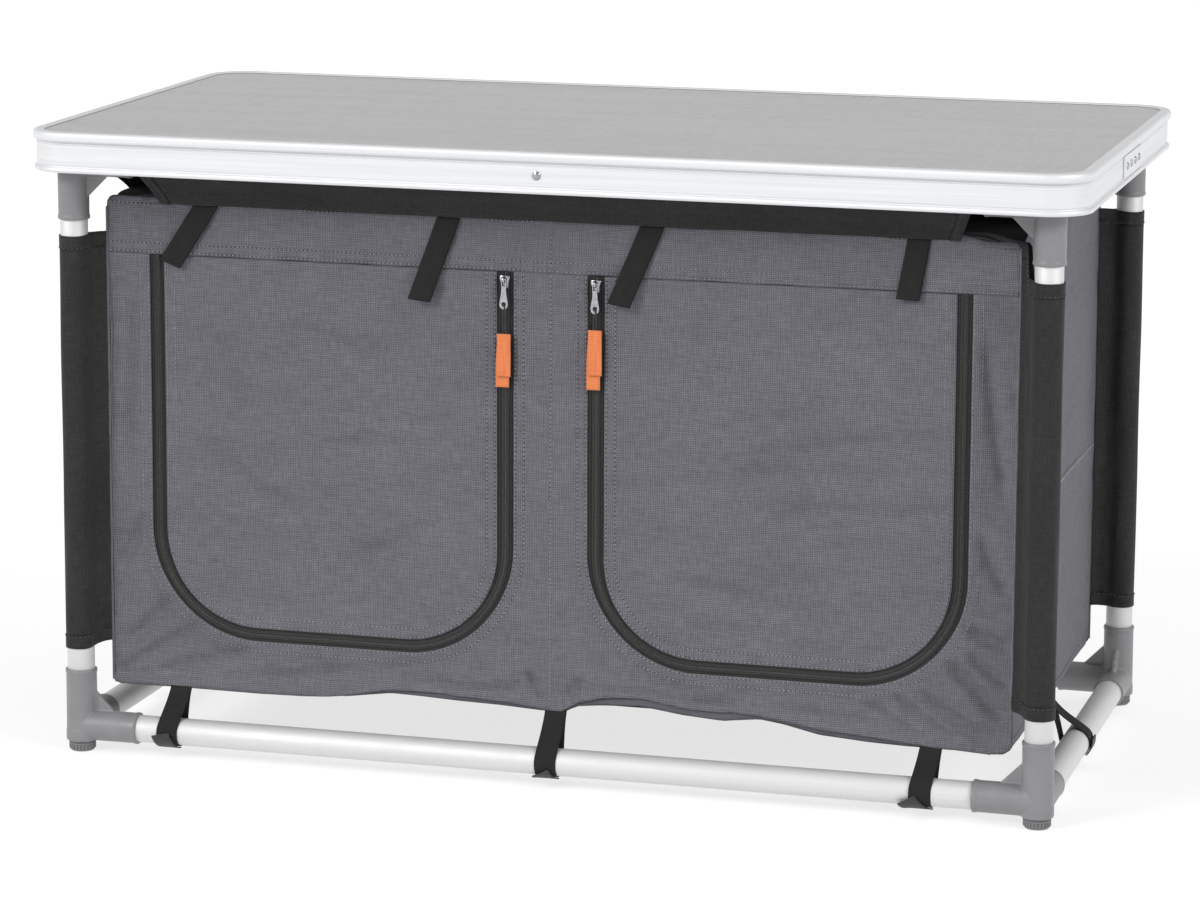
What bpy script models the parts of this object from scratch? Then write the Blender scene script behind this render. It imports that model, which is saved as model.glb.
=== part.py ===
"""Camping cupboard: a lift-off laminate tabletop on a slot-together tube frame, with a hung fabric cabinet.

Metres, +Z up. X runs along the width, -Y is the front with the two zipped doors.
The origin lies on the floor under the middle of the cupboard.
"""
import math

import bmesh
import bpy
from mathutils import Matrix, Vector

# Overall sizes
HEIGHT = 0.600
LEG_SPAN_X = 0.926
LEG_SPAN_Y = 0.456
TOP_OVERHANG_X = 0.0385
TOP_OVERHANG_Y = 0.0370
GAP = 0.0003
JOIN_OVERLAP = 0.0010

# Frame tubes and their plastic corner sockets
TUBE_RADIUS = 0.0130
TUBE_WALL = 0.0013
TUBE_SIDES = 20
SOCKET_WALL = 0.0015
ARM_REACH = 0.0590
POST_REACH = 0.0557
SOCKET_STOP = 0.0160
TUBE_END_GAP = 0.0005
GUSSET_LEG = 0.0195
GUSSET_THICKNESS = 0.0036
PEG_RADIUS = 0.0050
PEG_HEIGHT = 0.0050
PEG_CLEARANCE = 0.0008

# Levelling feet
FOOT_HEIGHT = 0.0096
FOOT_RADIUS = 0.0128
FOOT_RIBS = 16
FOOT_RIB_DEPTH = 0.0006
FOOT_CHAMFER = 0.0018
STUD_RADIUS = 0.0050
STUD_LENGTH = 0.0240
STUD_CLEARANCE = 0.0004
STUD_HOLE_SPARE = 0.0016

# Tabletop: laminate board in an aluminium edge profile
BOARD_THICKNESS = 0.0134
BOARD_EDGE_GAP = 0.0004
BOARD_REBATE = 0.0004
BEAD_RISE = 0.0015
BEAD_HEIGHT = 0.0095
BEAD_DEPTH = 0.0032
BEAD_LIP = 0.0085
BEAD_EASE = 0.0008
EDGE_WALL = 0.0020
EDGE_HEIGHT = 0.0380
LOWER_BEAD_HEIGHT = 0.0050
LOWER_BEAD_DEPTH = 0.0024
FLANGE_REACH = 0.0200
FLANGE_THICKNESS = 0.0017
TOP_CORNER_RADIUS = 0.0420
CORNER_STEPS = 6
SPLICE_GAP = 0.0004
SPLICE_LENGTH = 0.1000
SPLICE_HEIGHT = 0.0205
SPLICE_THICKNESS = 0.0014
RIVET_RADIUS = 0.0029
RIVET_RISE = 0.0014
RIVET_PITCH = 0.0225
RIVET_COUNT = 4
SCREW_HEAD_RADIUS = 0.0042
SCREW_HEAD_RISE = 0.0020
SCREW_SHANK_RADIUS = 0.0019
SCREW_HOLE_CLEARANCE = 0.0004
SCREW_TAIL_LENGTH = 0.0024
SCREW_TAIL_RADIUS = 0.0031

# Fabric cabinet
FABRIC = 0.0016
CABINET_INSET_X = 0.0275
CABINET_INSET_Y = 0.0130
CABINET_LIFT = 0.0393
ROOF_DROP = 0.0357
ROOF_THICKNESS = 0.0012
TOP_BAND_HEIGHT = 0.0520
FRONT_TOP_RISE = 0.0040
FLOOR_LIFT = 0.0120
FLOOR_THICKNESS = 0.0040
DIVIDER_THICKNESS = 0.0030
SHELF_RISE = 0.2000
SHELF_THICKNESS = 0.0050
SHELF_SETBACK = 0.0080
HEM_WAVE = (
    (-1.0, 0.0), (-0.84, 0.0006), (-0.66, 0.0002), (-0.56, 0.0010), (-0.46, 0.0036), (-0.36, 0.0098),
    (-0.29, 0.0092), (-0.20, 0.0074), (-0.11, 0.0065), (-0.01, 0.0043), (0.03, 0.0046), (0.06, 0.0110),
    (0.11, 0.0135), (0.20, 0.0155), (0.29, 0.0104), (0.38, 0.0077), (0.46, 0.0120), (0.51, 0.0091),
    (0.59, 0.0016), (0.69, -0.0015), (0.78, -0.0028), (0.88, -0.0020), (0.95, -0.0036), (1.0, -0.0020),
)

# Doors and zips
ZIP_SIDE_MARGIN = 0.0500
ZIP_CENTRE_MARGIN = 0.0435
ZIP_BOTTOM_MARGIN = 0.0575
ZIP_RADIUS = 0.0980
ZIP_BAND = 0.0170
ZIP_TAPE_UNDER = 0.0100
ZIP_TAPE_THICKNESS = 0.0008
ZIP_COIL_WIDTH = 0.0026
ZIP_COIL_RISE = 0.0016
ZIP_STEPS = 6
ZIP_TOP_GAP = 0.0005
ZIP_TAPE_RISE = 0.0040

# Zip slider with its arch, and the pull that hangs in the arch
SLIDER_WIDTH = 0.0095
SLIDER_LENGTH = 0.0120
SLIDER_THICKNESS = 0.0030
SLIDER_DROP = 0.0090
ARCH_HOLE = 0.0028
ARCH_WALL = 0.0010
ARCH_WIDTH = 0.0022
PULL_WIDTH = 0.0072
PULL_THICKNESS = 0.0014
PULL_BAR = 0.0016
PULL_WINDOW = 0.0040
PULL_PLAY = 0.0005
PULL_LENGTH = 0.0500
TAB_WIDTH = 0.0150
TAB_LENGTH = 0.0560
TAB_THICKNESS = 0.0030
TAB_OVERLAP = 0.0060

# Sewn sleeves, hanging ties and roll-up straps
SLEEVE_CLEARANCE = 0.0003
SLEEVE_WALL = 0.0008
SLEEVE_STEPS = 18
LEG_SLEEVE_LOW = 0.0210
LEG_SLEEVE_HIGH = 0.0150
RAIL_SLEEVE_END = 0.0230
SIDE_SLEEVE_END = 0.0150
BAND_DROP = 0.0390
BAND_SEAM = 0.0140
SLEEVE_SEAM = 0.0100
TIE_WIDTH = 0.0205
TIE_FRONT_SHARES = (-0.790, 0.013, 0.782)
TIE_SIDE_SHARE = -0.066
STRAP_WIDTH = 0.0210
STRAP_THICKNESS = 0.0014
STRAP_TOP_GAP = 0.0010
STRAP_STAND = 0.0005
STRAPS = (
    ("roll_strap_1", -1, -0.709, -0.0346, 0.0555),
    ("roll_strap_2", -1, 0.683, -0.0272, 0.0780),
    ("roll_strap_3", 1, -0.692, -0.0302, 0.0735),
    ("roll_strap_4", 1, 0.751, -0.0090, 0.0550),
)

# Derived heights and places
SOCKET_BORE = TUBE_RADIUS + GAP
SOCKET_RADIUS = SOCKET_BORE + SOCKET_WALL
LEG_X = LEG_SPAN_X / 2
LEG_Y = LEG_SPAN_Y / 2
TOP_X = LEG_X + TOP_OVERHANG_X
TOP_Y = LEG_Y + TOP_OVERHANG_Y
LOWER_AXIS = FOOT_HEIGHT + GAP + SOCKET_RADIUS
BOARD_TOP = HEIGHT - BEAD_RISE
BOARD_BOTTOM = BOARD_TOP - BOARD_THICKNESS
UPPER_AXIS = BOARD_BOTTOM - GAP - SOCKET_RADIUS
EDGE_BOTTOM = HEIGHT - EDGE_HEIGHT
CABINET_X = LEG_X - CABINET_INSET_X
CABINET_Y = LEG_Y - CABINET_INSET_Y
CABINET_BOTTOM = LOWER_AXIS + CABINET_LIFT
ROOF_BOTTOM = UPPER_AXIS - ROOF_DROP
CABINET_TOP = ROOF_BOTTOM - GAP
SEAM_Z = CABINET_TOP - TOP_BAND_HEIGHT
INNER_X = CABINET_X - FABRIC - GAP
INNER_Y = CABINET_Y - FABRIC - GAP
FLOOR_BOTTOM = CABINET_BOTTOM + FLOOR_LIFT
FLOOR_TOP = FLOOR_BOTTOM + FLOOR_THICKNESS
SHELF_Z = CABINET_BOTTOM + SHELF_RISE
ZIP_OUTER_X = CABINET_X - ZIP_SIDE_MARGIN
ZIP_INNER_X = ZIP_CENTRE_MARGIN
ZIP_BOTTOM = CABINET_BOTTOM + ZIP_BOTTOM_MARGIN
DOOR_X = (ZIP_OUTER_X + ZIP_INNER_X) / 2
DOOR_HALF = (ZIP_OUTER_X - ZIP_INNER_X) / 2
BAND_BOTTOM = UPPER_AXIS - BAND_DROP
SLEEVE_INNER = TUBE_RADIUS + SLEEVE_CLEARANCE
SLEEVE_OUTER = SLEEVE_INNER + SLEEVE_WALL
STRAP_TOP = BAND_BOTTOM - STRAP_TOP_GAP
STRAP_Y = -CABINET_Y - STRAP_STAND - STRAP_THICKNESS / 2

CORNERS = {
    "front_left": (-1, -1, 0),
    "front_right": (1, -1, 90),
    "back_right": (1, 1, 180),
    "back_left": (-1, 1, 270),
}


def srgb(code):
    """Turns an sRGB hex colour into the linear values that the shader reads."""
    values = []
    for start in (1, 3, 5):
        share = int(code[start:start + 2], 16) / 255
        values.append(share / 12.92 if share <= 0.04045 else ((share + 0.055) / 1.055) ** 2.4)
    return (*values, 1.0)


def material(name, code, roughness, metallic=0.0):
    """A plain Principled material."""
    made = bpy.data.materials.new(name)
    made.use_nodes = True
    shader = made.node_tree.nodes["Principled BSDF"]
    shader.inputs["Base Color"].default_value = srgb(code)
    shader.inputs["Roughness"].default_value = roughness
    shader.inputs["Metallic"].default_value = metallic
    made.diffuse_color = srgb(code)
    return made


def add_mesh(name, mesh, look=None, place=None):
    """Puts a mesh in the parts collection as a named object."""
    made = bpy.data.objects.new(name, mesh)
    parts.objects.link(made)
    if look is not None:
        mesh.materials.clear()
        mesh.materials.append(look)
    if place is not None:
        made.matrix_world = place
    return made


def from_bmesh(name, shape):
    """Turns a bmesh into mesh data."""
    mesh = bpy.data.meshes.new(name)
    shape.to_mesh(mesh)
    shape.free()
    return mesh


def box_mesh(name, low, high):
    """A box between two corners, from a cube primitive."""
    shape = bmesh.new()
    bmesh.ops.create_cube(shape, size=1.0)
    size = [high[i] - low[i] for i in range(3)]
    middle = [(high[i] + low[i]) / 2 for i in range(3)]
    bmesh.ops.scale(shape, vec=size, verts=shape.verts)
    bmesh.ops.translate(shape, vec=middle, verts=shape.verts)
    return from_bmesh(name, shape)


def box(name, low, high, look):
    """A box whose origin is at its own middle."""
    middle = Vector([(high[i] + low[i]) / 2 for i in range(3)])
    mesh = box_mesh(name, Vector(low) - middle, Vector(high) - middle)
    return add_mesh(name, mesh, look, Matrix.Translation(middle))


def cylinder_mesh(name, radius, low, high, axis="Z", sides=TUBE_SIDES):
    """A capped cylinder along an axis through the origin."""
    shape = bmesh.new()
    bmesh.ops.create_cone(
        shape, cap_ends=True, segments=sides, radius1=radius, radius2=radius, depth=high - low)
    bmesh.ops.translate(shape, vec=(0, 0, (high + low) / 2), verts=shape.verts)
    if axis == "X":
        turn = Matrix.Rotation(math.radians(90), 3, "Y")
        bmesh.ops.rotate(shape, cent=(0, 0, 0), matrix=turn, verts=shape.verts)
    elif axis == "Y":
        turn = Matrix.Rotation(math.radians(-90), 3, "X")
        bmesh.ops.rotate(shape, cent=(0, 0, 0), matrix=turn, verts=shape.verts)
    return from_bmesh(name, shape)


def outline_mesh(name, loops, low, high):
    """A flat outline with holes, drawn as a 2D curve and given its thickness along local Z."""
    curve = bpy.data.curves.new(name, "CURVE")
    curve.dimensions = "2D"
    curve.fill_mode = "BOTH"
    curve.extrude = (high - low) / 2
    for loop in loops:
        spline = curve.splines.new("POLY")
        spline.points.add(len(loop) - 1)
        for point, (a, b) in zip(spline.points, loop):
            point.co = (a, b, 0, 1)
        spline.use_cyclic_u = True
    drawn = bpy.data.objects.new(name, curve)
    parts.objects.link(drawn)
    bpy.context.view_layer.update()
    mesh = bpy.data.meshes.new_from_object(drawn.evaluated_get(bpy.context.evaluated_depsgraph_get()))
    bpy.data.objects.remove(drawn)
    shape = bmesh.new()
    shape.from_mesh(mesh)
    bmesh.ops.remove_doubles(shape, verts=shape.verts, dist=0.00001)
    bmesh.ops.translate(shape, vec=(0, 0, (high + low) / 2), verts=shape.verts)
    bmesh.ops.recalc_face_normals(shape, faces=shape.faces)
    shape.to_mesh(mesh)
    shape.free()
    return mesh


def turned_mesh(name, profile, sides=TUBE_SIDES, closed=True):
    """A turned solid: the profile at +X runs down its outer side and is spun about Z."""
    mesh = bpy.data.meshes.new(name)
    count = len(profile)
    edges = [(i, i + 1) for i in range(count - 1)]
    if closed:
        edges.append((count - 1, 0))
    mesh.from_pydata([(r, 0, z) for r, z in profile], edges, [])
    spun = bpy.data.objects.new(name, mesh)
    parts.objects.link(spun)
    screw = spun.modifiers.new("Screw", "SCREW")
    screw.steps = sides
    screw.render_steps = sides
    screw.use_merge_vertices = True
    screw.merge_threshold = 0.00005
    bpy.context.view_layer.update()
    made = bpy.data.meshes.new_from_object(spun.evaluated_get(bpy.context.evaluated_depsgraph_get()))
    bpy.data.objects.remove(spun)
    bpy.data.meshes.remove(mesh)
    return made


def combine(name, base, steps, solver="EXACT"):
    """Applies Boolean steps, each a pair of operation and mesh, to a base mesh."""
    body = bpy.data.objects.new(name, base)
    parts.objects.link(body)
    tools = []
    for number, (operation, mesh) in enumerate(steps):
        tool = bpy.data.objects.new(f"{name}_tool_{number}", mesh)
        cutters.objects.link(tool)
        tool.hide_render = True
        tool.display_type = "WIRE"
        tools.append(tool)
        step = body.modifiers.new(f"step_{number}", "BOOLEAN")
        step.operation = operation
        step.solver = solver
        step.object = tool
    bpy.context.view_layer.update()
    made = bpy.data.meshes.new_from_object(body.evaluated_get(bpy.context.evaluated_depsgraph_get()))
    made.name = name
    bpy.data.objects.remove(body)
    for tool in tools:
        bpy.data.objects.remove(tool)
    shape = bmesh.new()
    shape.from_mesh(made)
    bmesh.ops.remove_doubles(shape, verts=shape.verts, dist=0.000002)
    shape.to_mesh(made)
    shape.free()
    return made


def smooth(made, angle=35):
    """Smooth shading with sharp edges kept."""
    made.data.shade_smooth()
    made.data.set_sharp_from_angle(angle=math.radians(angle))
    return made


def teardrop(radius, tip, half, steps=SLEEVE_STEPS):
    """The outline of cloth drawn round a circle and out to a flat tip, turning left."""
    tip = Vector(tip)
    side = Vector((-tip.y, tip.x)).normalized() * half
    left = tip + side
    right = tip - side
    first = math.atan2(left.y, left.x) + math.acos(radius / left.length)
    last = math.atan2(right.y, right.x) - math.acos(radius / right.length)
    while last < first:
        last += 2 * math.pi
    points = [tuple(right)]
    if half > 0:
        points.append(tuple(left))
    for step in range(steps + 1):
        angle = first + (last - first) * step / steps
        points.append((radius * math.cos(angle), radius * math.sin(angle)))
    return points


def sleeve_mesh(name, tip, seam, half, low, high):
    """A cloth sleeve round a tube with its two layers sewn together towards the tip."""
    tip = Vector(tip)
    inner_tip = tip.normalized() * (tip.length - seam)
    outer = teardrop(SLEEVE_OUTER, tip, half)
    inner = teardrop(SLEEVE_INNER, inner_tip, 0.0)
    return outline_mesh(name, [outer, inner], low, high)


def hem_rise(x):
    """How far the front panel's bottom edge stands above the cabinet's bottom at a place across it."""
    share = x / CABINET_X
    for (a, low), (b, high) in zip(HEM_WAVE, HEM_WAVE[1:]):
        if a <= share <= b:
            return low + (high - low) * (share - a) / (b - a)
    return 0.0


def rounded_rectangle(half_x, half_y, radius, steps):
    """The corner points of a rectangle with round corners, turning left from the right side."""
    points = []
    for quarter, (sx, sy) in enumerate(((1, 1), (-1, 1), (-1, -1), (1, -1))):
        for step in range(steps + 1):
            angle = math.radians(90) * (quarter + step / steps)
            points.append((
                sx * (half_x - radius) + radius * math.cos(angle),
                sy * (half_y - radius) + radius * math.sin(angle)))
    return points


def zip_path(side, offset, top):
    """The run of a door's zip, moved inwards by an offset, from its inner top to its outer top."""
    radius = ZIP_RADIUS - offset
    inner = side * (ZIP_INNER_X - DOOR_X)
    outer = side * (ZIP_OUTER_X - DOOR_X)
    bottom = ZIP_BOTTOM - SEAM_Z
    points = [(inner + side * offset, top)]
    for step in range(ZIP_STEPS + 1):
        angle = math.radians(90) * step / ZIP_STEPS
        points.append((
            inner + side * (ZIP_RADIUS - radius * math.cos(angle)),
            bottom + ZIP_RADIUS - radius * math.sin(angle)))
    for step in range(ZIP_STEPS + 1):
        angle = math.radians(90) * (1 - step / ZIP_STEPS)
        points.append((
            outer - side * (ZIP_RADIUS - radius * math.cos(angle)),
            bottom + ZIP_RADIUS - radius * math.sin(angle)))
    points.append((outer - side * offset, top))
    return points


def zip_strip(side, near, far, top):
    """A strip along the zip between two offsets from its middle line."""
    return zip_path(side, near, top) + zip_path(side, far, top)[::-1]


def facing_front(x, y, z):
    """Places a local XY outline upright: local X stays, local Y turns to +Z and local Z to -Y."""
    return Matrix.Translation((x, y, z)) @ Matrix.Rotation(math.radians(90), 4, "X")


def along_x(x, y, z):
    """Places a local outline so that local X turns to +Y, local Y to +Z and local Z to +X."""
    turn = Matrix(((0, 0, 1), (1, 0, 0), (0, 1, 0))).to_4x4()
    return Matrix.Translation((x, y, z)) @ turn


def transformed(mesh, matrix):
    """Moves mesh data by a matrix."""
    mesh.transform(matrix)
    return mesh


def empty(name, location):
    """A parent empty on a joint's axis."""
    made = bpy.data.objects.new(name, None)
    parts.objects.link(made)
    made.location = location
    made.empty_display_size = 0.03
    return made


def attach(child, parent):
    """Parents a piece without moving it."""
    bpy.context.view_layer.update()
    child.parent = parent
    child.matrix_parent_inverse = parent.matrix_world.inverted()


def corner_body(name):
    """The three-way corner socket at the lower front left: arms to +X and +Y, post to +Z."""
    steps = [
        ("UNION", cylinder_mesh("arm_x", SOCKET_RADIUS, 0, ARM_REACH, "X")),
        ("UNION", cylinder_mesh("arm_y", SOCKET_RADIUS, 0, ARM_REACH, "Y")),
    ]
    inner = SOCKET_RADIUS * 0.5
    far = SOCKET_RADIUS + GUSSET_LEG
    edge = SOCKET_RADIUS - GAP
    web = [(inner, inner), (far, inner), (far, edge), (edge, far), (inner, far)]
    half = GUSSET_THICKNESS / 2
    upright = outline_mesh("web_x", [web], -half, half)
    steps.append(("UNION", transformed(upright, Matrix.Rotation(math.radians(90), 4, "X"))))
    across = outline_mesh("web_y", [web], -half, half)
    steps.append(("UNION", transformed(across, along_x(0, 0, 0))))
    steps.append(("DIFFERENCE", cylinder_mesh("bore_x", SOCKET_BORE, SOCKET_STOP, ARM_REACH + 0.01, "X")))
    steps.append(("DIFFERENCE", cylinder_mesh("bore_y", SOCKET_BORE, SOCKET_STOP, ARM_REACH + 0.01, "Y")))
    steps.append(("DIFFERENCE", cylinder_mesh("bore_z", SOCKET_BORE, SOCKET_STOP, POST_REACH + 0.01)))
    base = cylinder_mesh("post", SOCKET_RADIUS, -SOCKET_RADIUS, POST_REACH)
    return combine(name, base, steps)


def hollow_tube(name, length, look, place):
    """A straight round tube centred on its origin along local Z."""
    outer = TUBE_RADIUS
    inner = TUBE_RADIUS - TUBE_WALL
    half = length / 2
    mesh = turned_mesh(name, [(outer, half), (outer, -half), (inner, -half), (inner, half)])
    return smooth(add_mesh(name, mesh, look, place))


def foot_mesh(name):
    """A ribbed levelling foot: its origin is the middle of the face that it stands on."""
    outline = []
    for step in range(FOOT_RIBS * 2):
        angle = math.pi * step / FOOT_RIBS
        radius = FOOT_RADIUS - (FOOT_RIB_DEPTH if step % 2 else 0)
        outline.append((radius * math.cos(angle), radius * math.sin(angle)))
    pad = outline_mesh("pad", [outline], FOOT_CHAMFER, FOOT_HEIGHT)
    sole = FOOT_RADIUS - FOOT_CHAMFER
    return combine(name, pad, [
        ("UNION", cylinder_mesh("sole", sole, 0, FOOT_CHAMFER + JOIN_OVERLAP)),
        ("UNION", cylinder_mesh("stud", STUD_RADIUS, FOOT_HEIGHT - JOIN_OVERLAP, FOOT_HEIGHT + STUD_LENGTH, sides=12)),
    ])


def edge_profile():
    """The section of the tabletop's edge: x is measured inwards from the widest line, y is the height."""
    lip = BOARD_TOP + GAP
    flange_top = BOARD_BOTTOM - GAP
    flange_bottom = flange_top - FLANGE_THICKNESS
    groove = HEIGHT - BEAD_HEIGHT
    face = BEAD_DEPTH
    back = BEAD_DEPTH + EDGE_WALL
    low = EDGE_BOTTOM + LOWER_BEAD_HEIGHT
    toe = BEAD_DEPTH - LOWER_BEAD_DEPTH
    return [
        (back + BEAD_LIP - face, lip),
        (back + BEAD_LIP - face - BEAD_EASE, HEIGHT - BEAD_EASE / 2),
        (back, HEIGHT),
        (BEAD_EASE * 3.5, HEIGHT),
        (BEAD_EASE, HEIGHT - BEAD_EASE * 1.5),
        (0.0, HEIGHT - BEAD_EASE * 4.5),
        (0.0, groove + BEAD_EASE * 3.5),
        (BEAD_EASE * 1.1, groove + BEAD_EASE * 1.25),
        (face, groove),
        (face, low),
        (toe + BEAD_EASE * 0.6, low - BEAD_EASE),
        (toe, EDGE_BOTTOM + LOWER_BEAD_HEIGHT / 2),
        (toe + BEAD_EASE * 0.6, EDGE_BOTTOM + BEAD_EASE),
        (face - BEAD_EASE, EDGE_BOTTOM),
        (back, EDGE_BOTTOM),
        (back, flange_bottom),
        (FLANGE_REACH, flange_bottom),
        (FLANGE_REACH, flange_top),
        (back, flange_top),
        (back, lip),
    ]


def edge_mesh(name):
    """One extrusion bent round the tabletop, from one side of its joint at the right end to the other."""
    profile = edge_profile()
    path = []
    for quarter, (sx, sy) in enumerate(((1, 1), (-1, 1), (-1, -1), (1, -1))):
        for step in range(CORNER_STEPS + 1):
            angle = math.radians(90) * (quarter + step / CORNER_STEPS)
            centre = (sx * (TOP_X - TOP_CORNER_RADIUS), sy * (TOP_Y - TOP_CORNER_RADIUS))
            path.append((centre, TOP_CORNER_RADIUS, math.cos(angle), math.sin(angle)))
    start = ((TOP_X - TOP_CORNER_RADIUS, SPLICE_GAP / 2), TOP_CORNER_RADIUS, 1.0, 0.0)
    end = ((TOP_X - TOP_CORNER_RADIUS, -SPLICE_GAP / 2), TOP_CORNER_RADIUS, 1.0, 0.0)
    rings = [start] + path + [end]
    shape = bmesh.new()
    made = []
    for centre, radius, c, s in rings:
        made.append([
            shape.verts.new((centre[0] + (radius - a) * c, centre[1] + (radius - a) * s, z))
            for a, z in profile])
    count = len(profile)
    for near, far in zip(made, made[1:]):
        for i in range(count):
            j = (i + 1) % count
            shape.faces.new((near[i], near[j], far[j], far[i]))
    shape.faces.new(made[0])
    shape.faces.new(made[-1][::-1])
    bmesh.ops.recalc_face_normals(shape, faces=shape.faces)
    return from_bmesh(name, shape)


for old in list(bpy.data.objects):
    bpy.data.objects.remove(old)
parts = bpy.data.collections.new("camping_cupboard")
cutters = bpy.data.collections.new("cutters")
bpy.context.scene.collection.children.link(parts)
bpy.context.scene.collection.children.link(cutters)

aluminium = material("satin_aluminium_tube", "#d9dadb", 0.38, 1.0)
edge_metal = material("satin_aluminium_edge", "#e4e4e5", 0.32, 1.0)
steel = material("bright_steel", "#c9cacb", 0.22, 1.0)
corner_plastic = material("grey_moulded_plastic", "#7c7c7e", 0.55)
foot_plastic = material("grey_foot_plastic", "#6f6f71", 0.60)
laminate = material("grey_laminate", "#b3b2b2", 0.45)
grey_cloth = material("grey_woven_polyester", "#6f6e75", 0.88)
black_cloth = material("black_woven_polyester", "#2b2b2a", 0.85)
stiff_board = material("covered_board", "#4a4a4d", 0.80)
zip_tape = material("black_zip_tape", "#3a3b38", 0.70)
slider_metal = material("chromed_slider", "#d4d5d6", 0.15, 1.0)
orange_web = material("orange_pull_webbing", "#ff8450", 0.70)
webbing = material("black_webbing", "#262626", 0.80)

# Frame corners: one lower and one upper shape, each turned to its corner
lower_shape = combine("lower_corner", corner_body("corner"), [
    ("DIFFERENCE", cylinder_mesh(
        "stud_hole", STUD_RADIUS + STUD_CLEARANCE, -SOCKET_RADIUS - 0.01,
        STUD_LENGTH + GAP + STUD_HOLE_SPARE - SOCKET_RADIUS, sides=12)),
])
upper_base = transformed(corner_body("corner"), Matrix.Rotation(math.radians(180), 4, "X"))
upper_shape = combine("upper_corner", upper_base, [
    ("UNION", cylinder_mesh("peg", PEG_RADIUS, SOCKET_RADIUS - JOIN_OVERLAP, SOCKET_RADIUS + GAP + PEG_HEIGHT, sides=12)),
])
foot_shape = foot_mesh("foot")
leg_length = (UPPER_AXIS - LOWER_AXIS) - 2 * (SOCKET_STOP + TUBE_END_GAP)
leg_middle = (UPPER_AXIS + LOWER_AXIS) / 2
for corner, (sx, sy, turn) in CORNERS.items():
    spot = (sx * LEG_X, sy * LEG_Y)
    spin = Matrix.Rotation(math.radians(turn), 4, "Z")
    smooth(add_mesh(f"lower_corner_{corner}", lower_shape, corner_plastic,
                    Matrix.Translation((*spot, LOWER_AXIS)) @ spin))
    flip = Matrix.Rotation(math.radians(turn + 90), 4, "Z")
    smooth(add_mesh(f"upper_corner_{corner}", upper_shape, corner_plastic,
                    Matrix.Translation((*spot, UPPER_AXIS)) @ flip))
    smooth(add_mesh(f"foot_{corner}", foot_shape, foot_plastic, Matrix.Translation((*spot, 0))), 25)
    hollow_tube(f"leg_tube_{corner}", leg_length, aluminium, Matrix.Translation((*spot, leg_middle)))

# Lower and upper rails between the corners
rail_length_x = LEG_SPAN_X - 2 * (SOCKET_STOP + TUBE_END_GAP)
rail_length_y = LEG_SPAN_Y - 2 * (SOCKET_STOP + TUBE_END_GAP)
for level, height in (("lower", LOWER_AXIS), ("upper", UPPER_AXIS)):
    lying = Matrix.Rotation(math.radians(90), 4, "Y")
    hollow_tube(f"{level}_rail_front", rail_length_x, aluminium, Matrix.Translation((0, -LEG_Y, height)) @ lying)
    hollow_tube(f"{level}_rail_back", rail_length_x, aluminium, Matrix.Translation((0, LEG_Y, height)) @ lying)
    lying = Matrix.Rotation(math.radians(90), 4, "X")
    hollow_tube(f"{level}_rail_left", rail_length_y, aluminium, Matrix.Translation((-LEG_X, 0, height)) @ lying)
    hollow_tube(f"{level}_rail_right", rail_length_y, aluminium, Matrix.Translation((LEG_X, 0, height)) @ lying)

# Tabletop: board with four blind peg holes, edge extrusion, splice plate and front rivet
top = empty("tabletop_lift", (0, 0, BOARD_BOTTOM))
board_inset = BEAD_DEPTH + EDGE_WALL + BOARD_EDGE_GAP
board_outline = rounded_rectangle(
    TOP_X - board_inset, TOP_Y - board_inset, TOP_CORNER_RADIUS - board_inset, CORNER_STEPS)
board = outline_mesh("board", [board_outline], 0, BOARD_THICKNESS - BOARD_REBATE)
face_inset = EDGE_WALL + BEAD_LIP + GAP
face_outline = rounded_rectangle(
    TOP_X - face_inset, TOP_Y - face_inset, TOP_CORNER_RADIUS - face_inset, CORNER_STEPS)
face = outline_mesh("board_face", [face_outline], JOIN_OVERLAP, BOARD_THICKNESS)
holes = [("UNION", face)]
for sx, sy, turn in CORNERS.values():
    hole = cylinder_mesh("peg_hole", PEG_RADIUS + PEG_CLEARANCE, -0.01, PEG_HEIGHT + 2 * GAP, sides=12)
    holes.append(("DIFFERENCE", transformed(hole, Matrix.Translation((sx * LEG_X, sy * LEG_Y, 0)))))
board = combine("board", board, holes)
attach(add_mesh("tabletop_board", board, laminate, Matrix.Translation((0, 0, BOARD_BOTTOM))), top)

screw_z = EDGE_BOTTOM + LOWER_BEAD_HEIGHT + (EDGE_HEIGHT - BEAD_HEIGHT - LOWER_BEAD_HEIGHT) / 2
screw_z = min(screw_z, BOARD_BOTTOM - GAP - FLANGE_THICKNESS - SCREW_TAIL_RADIUS - GAP)
edge_face_y = -(TOP_Y - BEAD_DEPTH)
hole = cylinder_mesh("screw_hole", SCREW_SHANK_RADIUS + SCREW_HOLE_CLEARANCE, -0.01, 0.01, "Y", sides=12)
edge = combine("edge", edge_mesh("edge"), [
    ("DIFFERENCE", transformed(hole, Matrix.Translation((0, edge_face_y, screw_z)))),
])
attach(smooth(add_mesh("tabletop_edge_rail", edge, edge_metal, Matrix.Identity(4))), top)

head = SCREW_HEAD_RADIUS
rise = SCREW_HEAD_RISE
shank_end = -(GAP + EDGE_WALL + GAP)
tail_end = shank_end - SCREW_TAIL_LENGTH
rivet_profile = [
    (0.0, rise), (head * 0.5, rise * 0.86), (head * 0.85, rise * 0.45), (head, 0.0),
    (SCREW_SHANK_RADIUS, 0.0), (SCREW_SHANK_RADIUS, shank_end), (SCREW_TAIL_RADIUS, shank_end),
    (SCREW_TAIL_RADIUS, tail_end), (0.0, tail_end)]
rivet = turned_mesh("edge_rivet", rivet_profile, sides=16, closed=False)
attach(smooth(add_mesh("edge_rivet", rivet, steel, facing_front(0, edge_face_y - GAP, screw_z))), top)

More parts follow.
